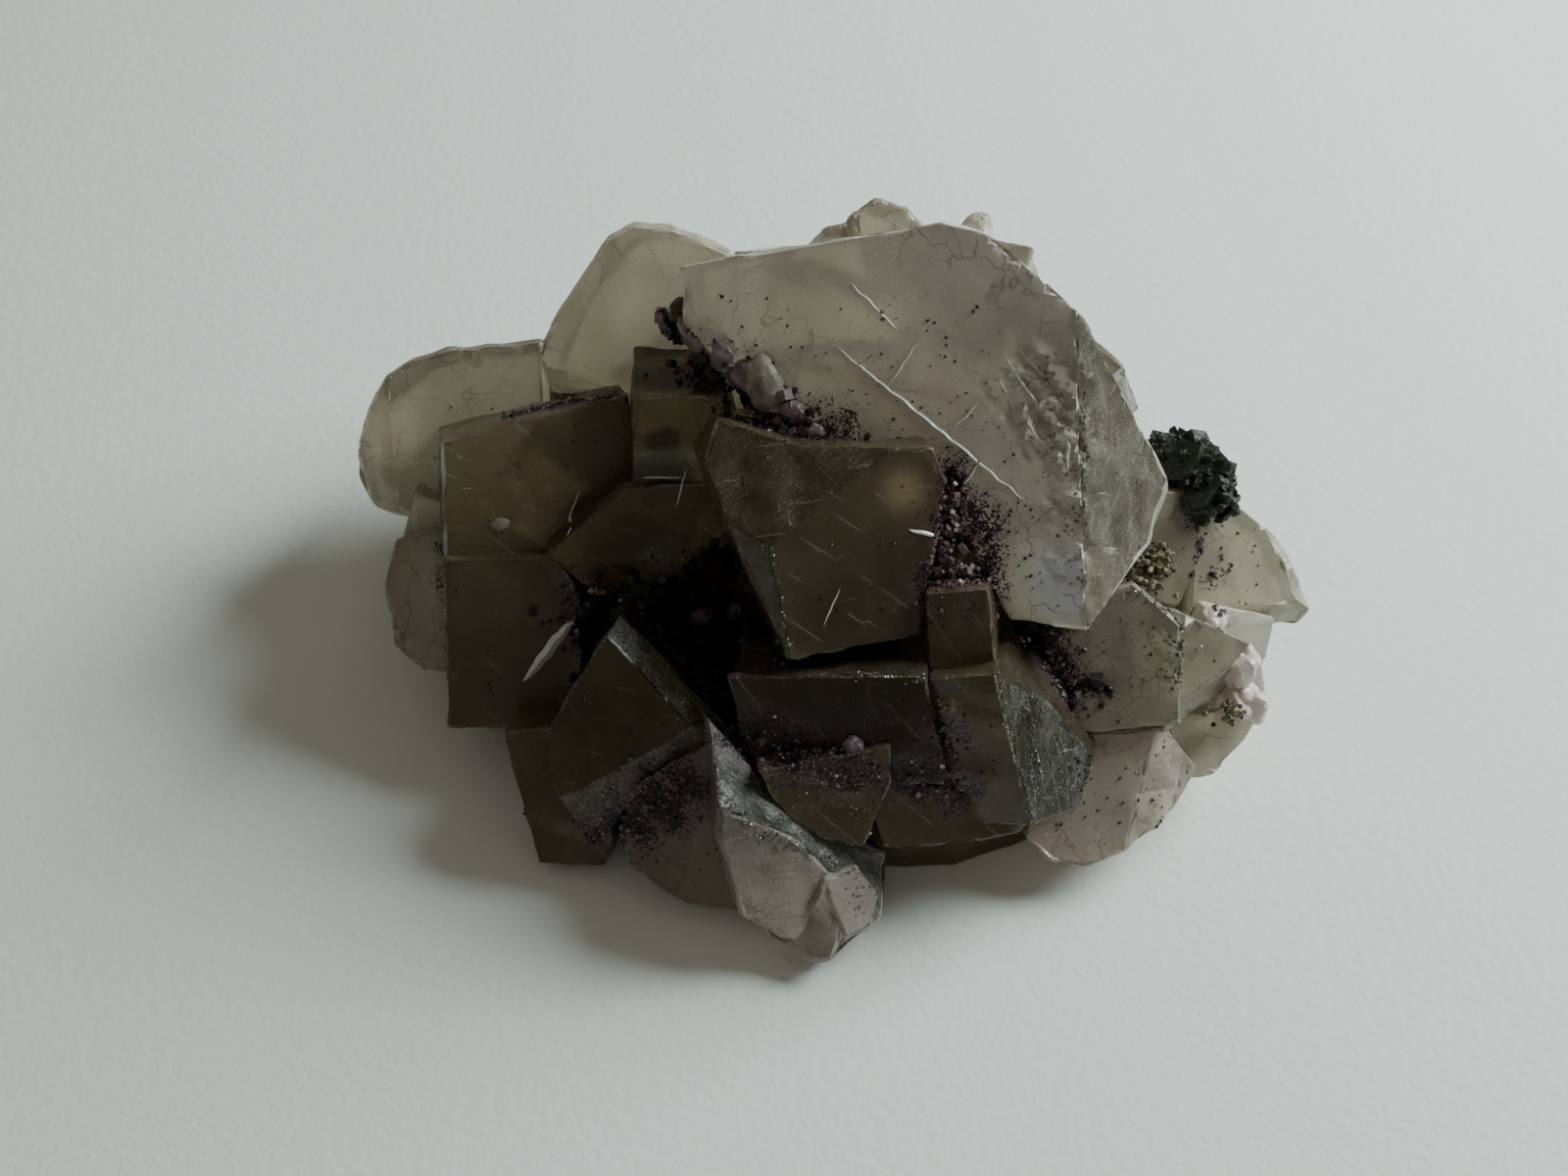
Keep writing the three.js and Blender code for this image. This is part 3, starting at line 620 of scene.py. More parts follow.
def hollowTools(cut):
    tools = []
    for crust in crusts.values():
        rng = random.Random(crust["seed"])
        count = round(len(crust["route"]) * cut["perPoint"])
        for step in range(count):
            bm = bmesh.new()
            bmesh.ops.create_icosphere(bm, subdivisions=2, radius=crust["room"] * rng.uniform(*cut["vary"]))
            for vert in bm.verts:
                rise = noise.noise(vert.co / cut["unevenSize"] + Vector((step, 0, 0)))
                vert.co += vert.normal * cut["uneven"] * rise
            markCorners(bm, tones[cut["tone"]], lambda part: cut["frost"])
            middle = alongRoute(crust["route"], step / (count - 1)) * mm
            bm.transform(Matrix.Translation(middle) @ Matrix.Scale(mm, 4))
            tools.append(makeObject("hollow", bm))
    return tools


def boxObject(name, low, high):
    bm = bmesh.new()
    size = Matrix.Diagonal((*(Vector(high) - Vector(low)), 1))
    bmesh.ops.create_cube(bm, size=1, matrix=Matrix.Translation((Vector(low) + Vector(high)) / 2) @ size)
    return makeObject(name, bm)


def keepLargest(bm):
    left = set(bm.verts)
    groups = []
    while left:
        group = {left.pop()}
        front = list(group)
        while front:
            front = [near for near in {edge.other_vert(vert) for vert in front for edge in vert.link_edges}
                     if near in left]
            left.difference_update(front)
            group.update(front)
        groups.append(group)
    largest = max(groups, key=len)
    bmesh.ops.delete(bm, geom=[vert for vert in bm.verts if vert not in largest], context="VERTS")


# Stain in the seams: a point there, how far the stain reaches, and how strong it is.
stains = [
    ((-16, 16, 40), 3, 0.8), ((-15, 13, 39), 3, 0.9), ((-11, 10, 38), 3.2, 0.9), ((-8, 8, 37), 3.2, 0.8),
    ((-6, 5, 36), 3.2, 0.9), ((-1, 3, 36), 3, 0.8), ((-31, 14, 31), 3, 1.4), ((-28, 14, 31), 3, 1.4),
    ((-33.5, 14.5, 30.5), 2.4, 1.3), ((-29.5, 13.5, 30.5), 2.2, 1.4), ((-24, 14, 31), 2.4, 0.9),
    ((-16, -3, 14), 5.5, 1.5), ((-12, 0, 16), 4, 1.4), ((-10, -3, 14), 6, 1.4), ((-14, -9, 12), 6, 1.4),
    ((-12, -13, 12), 5, 1.3), ((-24, -5, 18), 3, 0.9), ((-27, -3, 18), 3, 0.8), ((-26, -7, 17), 3, 0.8),
    ((10, -3, 35), 3, 0.9), ((11, -6, 32.5), 3.8, 1.0), ((11.5, -9, 30.5), 3.8, 1.0),
    ((13, -11, 28), 2.8, 1.0), ((9, -11, 28), 3, 0.9), ((13.5, -7, 32), 3, 0.6), ((19, -11, 23), 3, 1.2),
    ((21, -12, 21), 3, 1.2), ((22, -15, 18), 2.8, 1.1), ((26, -14, 18), 2.2, 0.8),
    ((9, -18, 21), 2.8, 0.9), ((10, -22, 18), 3, 0.9), ((11, -24, 15), 3, 1.1),
    ((9.5, -20, 20), 2.6, 1.2), ((7.5, -24, 16), 2.8, 1.1), ((-9.5, 6, 34), 3, 1.2),
    ((-5, -14, 22), 3, 0.9), ((-40.5, 2, 20), 2.6, 1.0), ((-40.5, -1, 17), 2.4, 1.0),
    ((-40.5, -4, 14), 2.4, 0.9), ((-8, -21, 18), 3, 1.5), ((-4.5, -22, 17.5), 3, 1.5),
    ((-1, -23, 17), 2.8, 1.4), ((3, -23.5, 17), 2.4, 1), ((-24.5, -25.4, 7), 2.4, 1.1),
    ((-20.5, -24.4, 9.3), 3.4, 1.4), ((-17.5, -23.6, 11), 3.4, 1.5), ((-15.5, -22.5, 12.8), 3, 1.3),
    ((39, -4.5, 22.5), 3, 0.8), ((20, -22, 11), 2.4, 0.8), ((22, -20, 13), 2.2, 0.7),
    ((37, 0, 27), 2.4, 0.7), ((38, -2, 24.5), 1.8, 0.6), ((31, -5, 25), 2.6, 0.5),
]


def stainCluster(mesh, fade=1.5, nearest=3):
    tree = KDTree(len(stains))
    for index, (point, _, _) in enumerate(stains):
        tree.insert(Vector(point) * mm, index)
    tree.balance()
    layer = mesh.attributes.new("stain", "FLOAT", "POINT")
    for vert in mesh.vertices:
        value = 0
        for _, index, away in tree.find_n(vert.co, nearest):
            reach, depth = stains[index][1:]
            value = max(value, depth * (1 - away / (reach * fade * mm)))
        layer.data[vert.index].value = value


def plug(tree, node, inputs):
    for name, value in inputs.items():
        if isinstance(value, bpy.types.NodeSocket):
            tree.links.new(value, node.inputs[name])
        else:
            node.inputs[name].default_value = value


def makeNode(tree, kind, inputs=None, **settings):
    made = tree.nodes.new(kind)
    for name, value in settings.items():
        setattr(made, name, value)
    plug(tree, made, inputs or {})
    return made


def startMaterial(name):
    material = bpy.data.materials.new(name)
    material.use_nodes = True
    return material, material.node_tree, material.node_tree.nodes["Principled BSDF"]


def mixColour(tree, share, first, second, blend="MIX"):
    return makeNode(tree, "ShaderNodeMix", {0: share, 6: first, 7: second},
                    data_type="RGBA", blend_type=blend).outputs[2]


def calc(tree, operation, *values):
    return makeNode(tree, "ShaderNodeMath", dict(enumerate(values)), operation=operation).outputs[0]


def stretch(tree, value, low, high, to=(0, 1)):
    return makeNode(tree, "ShaderNodeMapRange", {"Value": value, "From Min": low, "From Max": high,
                                                 "To Min": to[0], "To Max": to[1]}).outputs[0]


def speckle(tree, vector, size, detail=3, distortion=0.0):
    return makeNode(tree, "ShaderNodeTexNoise", {"Vector": vector, "Scale": 1 / size, "Detail": detail,
                                                 "Distortion": distortion}).outputs[0]


def cells(tree, vector, size, output="Distance", **settings):
    return makeNode(tree, "ShaderNodeTexVoronoi", {"Vector": vector, "Scale": 1 / size},
                    **settings).outputs[output]


def addBump(tree, shader, height, distance, strength):
    bump = makeNode(tree, "ShaderNodeBump", {"Height": height, "Distance": distance, "Strength": strength})
    plug(tree, shader, {"Normal": bump.outputs["Normal"]})


def objectPlaces(tree):
    return makeNode(tree, "ShaderNodeTexCoord").outputs["Object"]


def attribute(tree, name, output="Fac"):
    return makeNode(tree, "ShaderNodeAttribute", attribute_name=name).outputs[output]


def product(tree, *values):
    first, *others = values
    for other in others:
        first = calc(tree, "MULTIPLY", first, other)
    return first


def shaded(tree, colour, shade):
    return mixColour(tree, 1.0, colour, shade, "MULTIPLY")


# noise of a size and detail, from nothing at one level to everything at another
def patches(tree, vector, size, detail, low, high, to=(0, 1)):
    return stretch(tree, speckle(tree, vector, size, detail), low, high, to)


# a mark over the body, in the mark's colour and strength
def marked(tree, body, share, mark):
    colour, strength = mark
    return mixColour(tree, product(tree, share, strength), body, colour)


# the marks on the fluorite each have a colour and a strength
fluoriteLook = dict(
    ior=1.434, absorption=(0.67, 0.61, 0.50, 1), density=60, gloss=(0.13, 0.30),
    lilac=(0.97, 0.93, 0.985, 1),
    frost=((0.50, 0.50, 0.46, 1), 0.3), sparks=((0.80, 0.80, 0.75, 1), 0.8),
    lines=((0.70, 0.69, 0.64, 1), 0.22), veins=((0.20, 0.12, 0.10, 1), 0.5),
    wash=((0.24, 0.13, 0.155, 1), 0.6), stain=((0.055, 0.019, 0.033, 1), 0.8),
    deep=((0.006, 0.003, 0.005, 1), 1.0),
)


def fluoriteMaterial(look):
    material, tree, shader = startMaterial("fluorite")
    places = objectPlaces(tree)
    own = attribute(tree, "own", "Vector")
    frost = attribute(tree, "frost")
    stain = attribute(tree, "stain")

    # slow clouds of colour, and lilac zones
    body = shaded(tree, attribute(tree, "tone", "Color"), patches(tree, own, 8, 5, 0.3, 0.7, (0.84, 1.12)))
    lilac = patches(tree, places, 0.016, 2, 0.36, 0.66)
    body = mixColour(tree, lilac, body, shaded(tree, body, look["lilac"]))

    # frost on broken faces: fine streaks along the break, with bright grains
    drawn = makeNode(tree, "ShaderNodeMapping", {"Vector": own, "Scale": (0.12, 1, 1)}).outputs[0]
    streaks = stretch(tree, speckle(tree, drawn, 0.25, 5, 0.3), 0.46, 0.66)
    grains = patches(tree, own, 0.22, 2, 0.6, 0.7)
    uneven = patches(tree, own, 3, 3, 0.36, 0.64, (0.45, 1))
    frosted = product(tree, frost, calc(tree, "MAXIMUM", streaks, grains), uneven)
    body = marked(tree, body, frosted, look["frost"])
    body = marked(tree, body, product(tree, frost, patches(tree, own, 0.2, 1, 0.62, 0.68), uneven),
                  look["sparks"])

    # short pale cleavage lines inside, along the crystal's own directions
    waves = makeNode(tree, "ShaderNodeTexWave", {"Vector": own, "Scale": 0.12, "Distortion": 3.0,
                                                 "Detail": 1.0, "Detail Scale": 0.4},
                     wave_type="BANDS", bands_direction="DIAGONAL").outputs["Fac"]
    lines = product(tree, stretch(tree, waves, 0.985, 1.0), patches(tree, own, 5, 2, 0.52, 0.6))
    body = marked(tree, body, lines, look["lines"])

    # fine brownish veins here and there
    bent = makeNode(tree, "ShaderNodeTexNoise", {"Vector": places, "Scale": 250, "Detail": 2})
    bent = makeNode(tree, "ShaderNodeVectorMath", {0: bent.outputs["Color"], "Scale": 0.004},
                    operation="SCALE").outputs[0]
    bent = makeNode(tree, "ShaderNodeVectorMath", {0: places, 1: bent}, operation="ADD").outputs[0]
    veins = stretch(tree, cells(tree, bent, 0.0045, feature="DISTANCE_TO_EDGE"), 0.022, 0.004)
    veins = product(tree, veins, patches(tree, places, 0.008, 2, 0.46, 0.58))
    body = marked(tree, body, veins, look["veins"])

    # purple stain: a faint wash, then fine dark grains that crowd together, and dots strewn around
    wash = product(tree, stretch(tree, stain, 0, 0.5), patches(tree, places, 0.002, 5, 0.4, 0.6))
    body = marked(tree, body, wash, look["wash"])
    crowd = calc(tree, "ADD", stain, patches(tree, places, 0.0028, 5, 0.25, 0.75, (-0.6, 0.6)))
    crowd = calc(tree, "ADD", crowd, patches(tree, places, 0.00028, 2, 0.3, 0.7, (-0.6, 0.6)))
    near = stretch(tree, stain, 0.02, 0.25)
    purple = product(tree, stretch(tree, crowd, 0.44, 0.52), near)
    deep = product(tree, stretch(tree, crowd, 0.60, 0.70), near)
    dots = product(tree, stretch(tree, cells(tree, places, 0.0005), 0.26, 0.18), near,
                   patches(tree, places, 0.004, 2, 0.45, 0.6))
    body = marked(tree, body, purple, look["stain"])
    body = marked(tree, body, calc(tree, "MAXIMUM", deep, dots), look["deep"])

    # less clear where stained or frosted
    blocked = calc(tree, "MAXIMUM", purple, dots)
    clear = product(tree, attribute(tree, "tone", "Alpha"), calc(tree, "SUBTRACT", 1.0, blocked),
                    stretch(tree, frosted, 0, 1, (1, 0.5)))

    # etched patches among glossier ones
    rough = calc(tree, "ADD", patches(tree, own, 4, 4, 0.42, 0.6, look["gloss"]), product(tree, frost, 0.3))
    rough = calc(tree, "ADD", rough, product(tree, blocked, 0.1))
    plug(tree, shader, {"Base Color": body, "Transmission Weight": clear, "Roughness": rough,
                        "IOR": look["ior"]})

    # low relief: growth steps in the crystal's own directions, grain on frosted faces
    steps = makeNode(tree, "ShaderNodeSeparateColor",
                     {"Color": cells(tree, own, 2.4, "Color", distance="CHEBYCHEV")}).outputs[0]
    grain = product(tree, speckle(tree, own, 0.45, 5), stretch(tree, frost, 0, 1, (0.04, 0.2)))
    addBump(tree, shader, calc(tree, "ADD", product(tree, steps, 0.035), grain), 1 * mm, 0.6)
    absorb = makeNode(tree, "ShaderNodeVolumeAbsorption", {"Color": look["absorption"],
                                                           "Density": look["density"]})
    plug(tree, tree.nodes["Material Output"], {"Volume": absorb.outputs[0]})
    return material


def makeCluster():
    rng = random.Random(growth["seed"])
    blocks = [growCrystal(name, crystal, rng) for name, crystal in crystals.items()]
    blocks += growKnobs(paleKnobs)
    print("crystals grown:", len(blocks), "faces:", sum(len(block.data.polygons) for block in blocks))
    cluster = blocks[0]
    combine(cluster, blocks[1:], "UNION")
    combine(cluster, [boxObject("ground", (-0.08, -0.08, -0.05), (0.08, 0.08, 0))], "DIFFERENCE")
    combine(cluster, hollowTools(hollowCut), "DIFFERENCE")
    print("crystals joined, hollows cut")

    mesh = cluster.data
    bm = openMesh(mesh)
    bmesh.ops.remove_doubles(bm, verts=bm.verts[:], dist=growth["merge"] * mm)
    bmesh.ops.dissolve_degenerate(bm, dist=growth["merge"] * mm, edges=bm.edges[:])
    keepLargest(bm)
    bmesh.ops.triangulate(bm, faces=[face for face in bm.faces if len(face.verts) > 4])
    closeMesh(bm, mesh)
    mesh.shade_smooth()
    mesh.set_sharp_from_angle(angle=math.radians(growth["sharp"]))
    stainCluster(mesh)
    mesh.materials.clear()
    mesh.materials.append(fluoriteMaterial(fluoriteLook))
    print("cluster triangles:", sum(len(face.vertices) - 2 for face in mesh.polygons))
    cluster.name = "fluorite_crystals"
    return cluster


cluster = makeCluster()
finishPiece(cluster, "fluorite", "fluorite")
skinMesh = openMesh(cluster.data)
skin = BVHTree.FromBMesh(skinMesh)
skinMesh.free()


# small crystals in the hollow and the seams
crustLook = dict(
    palettes=dict(
        deep=[(0.006, 0.003, 0.005), (0.014, 0.008, 0.008), (0.035, 0.022, 0.013), (0.06, 0.036, 0.045)],
        purple=[(0.010, 0.004, 0.007), (0.030, 0.011, 0.018), (0.07, 0.03, 0.045), (0.20, 0.13, 0.15)],
        rose=[(0.15, 0.085, 0.095), (0.24, 0.16, 0.165), (0.05, 0.02, 0.028), (0.34, 0.27, 0.26)],
        pale=[(0.30, 0.29, 0.24), (0.20, 0.195, 0.16), (0.42, 0.41, 0.36), (0.6, 0.6, 0.55)],
    ),
    weights=[7, 5, 2, 0.25],
    chunk=150,  # one bmesh grows slow with thousands of cubes, so they are made in parts
    stray=0.5, fewLarge=2.5, uneven=(0.7, 1), sunk=(-0.15, 0.2),
)


# mottled, grain: a noise's numbers for colour and roughness. bump: its size, detail and height
def grainMaterial(name, mottled, grain, bump, clearness, ior):
    material, tree, shader = startMaterial(name)
    places = objectPlaces(tree)
    size, detail, height = bump
    plug(tree, shader, {
        "Base Color": shaded(tree, attribute(tree, "tone", "Color"), patches(tree, places, *mottled)),
        "Roughness": patches(tree, places, *grain), "IOR": ior, "Transmission Weight": clearness,
    })
    addBump(tree, shader, speckle(tree, places, size, detail), height, 0.5)
    return material


def crustMaterial(name, clearness, gloss):
    return grainMaterial(name, (0.0006, 3, 0.3, 0.7, (0.6, 1.4)), (0.001, 2, 0.35, 0.65, gloss),
                         (0.00025, 3, 0.0001), clearness, 1.45)


def addPart(bm, part):
    mesh = bpy.data.meshes.new("part")
    closeMesh(part, mesh)
    bm.from_mesh(mesh)
    bpy.data.meshes.remove(mesh)


def paint(layer, faces, shade):
    for face in faces:
        for corner in face.loops:
            corner[layer] = (*shade, 1)


def scatterCubes(bm, spots, sizes, palette, rng, heaped=False):
    low, high = sizes
    chunk = crustLook["chunk"]
    for first in range(0, len(spots), chunk):
        part = bmesh.new()
        toneLayer = part.loops.layers.float_color.new("tone")
        for middle, spread in spots[first:first + chunk]:
            spot = (middle + drift(rng, crustLook["stray"]) * spread) * mm
            touch, normal = skin.find_nearest(spot)[:2]
            side = low + (high - low) * rng.random() ** crustLook["fewLarge"]
            sides = [side] + [side * rng.uniform(*crustLook["uneven"]) for _ in range(2)]
            shape = Matrix.Diagonal([length * mm for length in sides] + [1])
            sunk = (spot if heaped else touch) + normal * side * mm * rng.uniform(*crustLook["sunk"])
            place = Matrix.Translation(sunk) @ anyTurn(rng) @ shape
            cube = bmesh.ops.create_cube(part, size=1, matrix=place)
            shade = rng.choices(crustLook["palettes"][palette], crustLook["weights"])[0]
            paint(toneLayer, {face for vert in cube["verts"] for face in vert.link_faces}, shade)
        addPart(bm, part)


def makeCrusts(material):
    for name, crust in crusts.items():
        rng = random.Random(crust["seed"])
        bm = bmesh.new()
        for count, spread, sizes, palette, *heaped in crust["layers"]:
            spots = [(alongRoute(crust["route"], rng.random()), spread) for _ in range(count)]
            scatterCubes(bm, spots, sizes, palette, rng, bool(heaped))
        finishPiece(makeObject(name.replace("crust", "druse"), bm, material), "crust", name)


# finer crystals wherever the seams are stained
seamDruse = dict(each=dict(purple=30, rose=26), size=(0.12, 0.5), near=0.6, seed=25)


def makeSeamDruse(settings, material):
    rng = random.Random(settings["seed"])
    bm = bmesh.new()
    for palette, each in settings["each"].items():
        spots = []
        for point, reach, _ in stains:
            spots += [(Vector(point), reach * settings["near"])] * each
        scatterCubes(bm, spots, settings["size"], palette, rng)
    finishPiece(makeObject("fine_druse", bm, material), "crust")


# pale glittering grains along broken edges: crystal, from, to, how far to each side, how many
glitter = dict(
    size=(0.06, 0.26), palette="pale", stray=0.5, seed=27,
    lines=[
        ("bottom left cube", (9, 0.6), (-3, -9), 1.4, 420), ("bottom left cube", (9, 0), (0, 11), 0.9, 160),
        ("bottom tip", (-8.5, 17.5), (-5, 8), 0.8, 220), ("bottom tip", (-5, 8), (3.5, 3), 0.9, 220),
        ("bottom tip", (3, -3), (6, 1), 2.2, 60), ("right wedge", (-0.7, 8.5), (9, 4), 0.7, 180),
        ("right wedge", (3, 4), (6, 0), 2.4, 220), ("lower right cube", (1.5, 9), (8, -6.5), 0.6, 200),
        ("lower right cube", (7, 4), (10, -4), 2.0, 120), ("crown", (19, 1), (22, -11), 1.0, 140),
        ("crown", (14, 9), (18, -2), 2.2, 140), ("front ledge", (-4, 3), (4, -2), 2.6, 220),
        ("middle cube", (-8, 2), (-7.5, -9), 0.8, 120), ("crown", (18, 12), (21, -3), 0.5, 120),
        ("tilted slab", (4, -2), (11, 4.5), 0.8, 90), ("lower middle cube", (1.5, 6.4), (8.5, 7.2), 1.0, 240),
    ],
)


def makeGlitter(settings, material):
    rng = random.Random(settings["seed"])
    bm = bmesh.new()
    for name, start, end, width, count in settings["lines"]:
        place = facePlace(crystals[name])
        spots = []
        for _ in range(count):
            away = Vector([rng.gauss(0, settings["stray"]) for _ in range(2)]) * width
            flat = Vector(start).lerp(Vector(end), rng.random()) + away
            spots.append((place @ (Vector((*flat, 0)) * mm) / mm, 0))
        scatterCubes(bm, spots, settings["size"], settings["palette"], rng)
    finishPiece(makeObject("glittering_grains", bm, material), "fluorite")


crust = crustMaterial("crust", 0.15, (0.25, 0.6))
makeCrusts(crust)
makeSeamDruse(seamDruse, crust)
makeGlitter(glitter, crustMaterial("clear grains", 0.6, (0.08, 0.25)))


# dark specks strewn over faces: crystal, lower and upper corner of the field on it, how many
specks = dict(
    colour=(0.006, 0.003, 0.006, 1), size=(0.07, 0.26), flat=0.6, uneven=(0.6, 1), seed=31,
    fields=[
        ("crown", (-4, 1), (10, 13), 70), ("crown", (11, -15), (20, -4), 60),
        ("crown", (-20, 3), (-4, 10), 40), ("crown", (0, -3), (14, 3), 40),
        ("lower middle cube", (-8, -5), (10, 5), 70),
        ("lower right cube", (-4, -7), (6, 7), 25), ("bottom cube", (-6, -6), (7, 6), 80),
        ("lower right block", (-8, -5), (6, 5), 70), ("left shoulder", (-8, -7), (9, 5), 25),
        ("left front block", (-5, -8), (7, 8), 20), ("bottom left cube", (-4, -6), (6, 5), 30),
        ("right wedge", (-6, -5), (5, 6), 35), ("middle cube", (-4, -8), (7, 6), 20),
        ("left block", (-6, -7), (9, 4), 20), ("far right cube", (-5, -4), (1, 5), 25),
        ("front ledge", (-5, -3), (5, 4), 25), ("foot block", (-4, -6), (5, 6), 30),
    ],
    seamEach=10, seamStray=0.7,
)


def makeSpecks(settings):
    material, tree, shader = startMaterial("dark sulfide")
    gloss = patches(tree, objectPlaces(tree), 0.0004, 2, 0.3, 0.7, (0.3, 0.7))
    plug(tree, shader, {"Base Color": settings["colour"], "Roughness": gloss})
    rng = random.Random(settings["seed"])
    points = []
    for name, low, high, count in settings["fields"]:
        place = facePlace(crystals[name])
        for _ in range(count):
            flat = Vector((rng.uniform(low[0], high[0]), rng.uniform(low[1], high[1]), 0))
            points.append(place @ (flat * mm))
    for point, reach, _ in stains:
        for _ in range(settings["seamEach"]):
            points.append((Vector(point) + drift(rng, settings["seamStray"]) * reach) * mm)
    bm = bmesh.new()
    low, high = settings["size"]
    for point in points:
        touch, normal = skin.find_nearest(point)[:2]
        radius = (low + (high - low) * rng.random() ** 2) * mm
        lie = normal.to_track_quat("Z", "Y").to_matrix().to_4x4()
        shape = Matrix.Diagonal((1, rng.uniform(*settings["uneven"]), settings["flat"], 1))
        bmesh.ops.create_icosphere(bm, subdivisions=1, radius=radius,
                                   matrix=Matrix.Translation(touch) @ lie @ anyTurn(rng) @ shape)
    finishPiece(makeObject("dark_specks", bm, material), "crust")


makeSpecks(specks)

# bright cleavage cracks: crystal, from, to, width at the widest
cracks = dict(
    colours=((0.60, 0.59, 0.56, 1), (0.95, 0.95, 0.92, 1)),
    depth=0.9, lift=0.05, ridge=0.5, step=0.4, wander=0.2, wanderSize=1.3, narrowest=0.12, blunt=0.6,
    lines=[
        ("crown", (-5.8, 6.1), (15.3, -4.2), 0.36), ("crown", (-5.7, 12.4), (-0.5, 9.2), 0.2),
        ("crown", (1.7, 8.2), (-0.2, 3.4), 0.25), ("crown", (9.0, 4.0), (6.8, 0.7), 0.25),
        ("crown", (10.3, -1.5), (9.0, -4.7), 0.25), ("middle cube", (5.8, 1.4), (8.8, 0.1), 0.42),
        ("dark cube", (-4.4, -3.6), (-0.3, -3.7), 0.16), ("dark cube", (0.1, -2.8), (-1.1, -6.7), 0.18),
        ("left front block", (7.6, 3.2), (2.4, -4.0), 1.15),
        ("left shoulder", (1.5, -6.2), (3.8, -2.5), 0.16),
        ("middle cube", (-3.6, -6.8), (-1.5, -3.3), 0.16), ("crown", (10.6, 8.6), (15, 4.4), 0.26),
        ("crown", (11.6, 9.8), (14.8, 7.4), 0.18), ("crown", (12.8, 4.2), (16.2, 1), 0.18),
        ("crown", (10.4, 6.6), (12.8, 3.6), 0.16), ("crown", (18, 2.4), (18.6, -0.4), 0.6),
    ],
)


def makeCracks(settings):
    material, tree, shader = startMaterial("cleavage crack")
    shade = mixColour(tree, speckle(tree, objectPlaces(tree), 0.0008, 3), *settings["colours"])
    plug(tree, shader, {"Base Color": shade, "Roughness": 0.3, "Transmission Weight": 0.2})
    bm = bmesh.new()
    for name, start, end, width in settings["lines"]:
        place = facePlace(crystals[name])
        inward = -place.col[2].to_3d()
        start, run = Vector(start), Vector(end) - Vector(start)
        across = Vector((-run.y, run.x)).normalized()
        strip = bmesh.ops.create_grid(bm, x_segments=max(4, round(run.length / settings["step"])),
                                      y_segments=2, size=0.5)["verts"]
        for vert in strip:
            share = vert.co.x + 0.5
            taper = max(settings["narrowest"], math.sin(math.pi * share) ** settings["blunt"])
            bend = Vector((share * run.length / settings["wanderSize"], start.x, start.y))
            aside = vert.co.y * width * taper + settings["wander"] * noise.noise(bend)
            flat = start + run * share + across * aside
            touch = skin.ray_cast(place @ (Vector((*flat, 5)) * mm), inward)[0]
            ridge = settings["ridge"] * width * taper * (1 - abs(vert.co.y) * 2)
            vert.co = touch - inward * (settings["lift"] + ridge) * mm
        faces = list({face for vert in strip for face in vert.link_faces})
        sunk = bmesh.ops.extrude_face_region(bm, geom=faces)["geom"]
        bmesh.ops.translate(bm, verts=[item for item in sunk if isinstance(item, bmesh.types.BMVert)],
                            vec=inward * settings["depth"] * mm)
    bmesh.ops.recalc_face_normals(bm, faces=bm.faces[:])
    finishPiece(makeObject("cleavage_cracks", bm, material), "fluorite")


makeCracks(cracks)

# larger worn crystals among the crusts: middle, size along three ways, degrees turned, colour
paleCrystals = dict(
    uneven=0.2, waves=((2.6, 1), (7, 0.4)),  # how often each wave goes up and down, and its height
    shades=dict(rose=(0.40, 0.34, 0.30), cream=(0.36, 0.33, 0.27), plum=(0.12, 0.08, 0.10),
                mauve=(0.30, 0.215, 0.22), lilac=(0.27, 0.20, 0.24), brown=(0.06, 0.038, 0.02)),
    lumps=[((-7.2, 6.9, 38.6), (4, 5.8, 2.6), 35, "rose"), ((-4.6, 4.4, 37.4), (2.8, 2.4, 1.8), 10, "mauve"),
           ((-34.7, 1.6, 24), (2.4, 1.4, 0.8), 20, "cream"),
           ((-14.4, 12.4, 40.4), (2.8, 4.4, 2.4), 50, "mauve"),
           ((-11.6, 10.2, 39.6), (3.2, 4.2, 2.4), 48, "mauve"),
           ((-9.4, 8.2, 38.8), (2.8, 3.4, 2), 40, "mauve"),
           ((-16, 14.6, 41.6), (1.9, 2.8, 1.7), -10, "brown"),
           ((-2.6, 2.6, 36.6), (2.2, 1.7, 1.4), 0, "mauve"), ((1.2, -22.6, 18.9), (2.1, 2, 1.8), 0, "lilac"),
           ((-14, -4.5, 16.5), (2.6, 2, 1.8), 20, "plum"), ((-10.5, -4, 17), (2, 1.6, 1.5), 50, "plum"),
           ((-9, -6.5, 15.5), (1.6, 1.5, 1.4), 80, "plum")],
)


def makePaleCrystals(settings):
    material = grainMaterial("pale lilac", (0.0014, 5, 0.35, 0.65, (0.5, 1.2)),
                             (0.001, 3, 0.3, 0.7, (0.2, 0.45)), (0.0005, 4, 0.0002), 0.4,
                             fluoriteLook["ior"])
    bm = bmesh.new()
    lie = facePlace(crystals["crown"]).to_3x3().to_4x4()
    for count, (middle, size, angle, shade) in enumerate(settings["lumps"]):
        lump = bmesh.new()
        toneLayer = lump.loops.layers.float_color.new("tone")
        bmesh.ops.create_icosphere(lump, subdivisions=4, radius=0.5)
        seed = Vector((count * 3, 0, 0))
        for vert in lump.verts:
            rise = sum(height * noise.noise(vert.co * often + seed) for often, height in settings["waves"])
            vert.co *= 1 + settings["uneven"] * rise
        bmesh.ops.scale(lump, vec=size, verts=lump.verts)
        for face in lump.faces:
            face.smooth = True
        paint(toneLayer, lump.faces, settings["shades"][shade])
        turn = lie @ Matrix.Rotation(math.radians(angle), 4, "Z")
        lump.transform(Matrix.Translation(Vector(middle) * mm) @ turn @ Matrix.Scale(mm, 4))
        addPart(bm, lump)
    finishPiece(makeObject("pale_crystals", bm, material), "crust")


makePaleCrystals(paleCrystals)

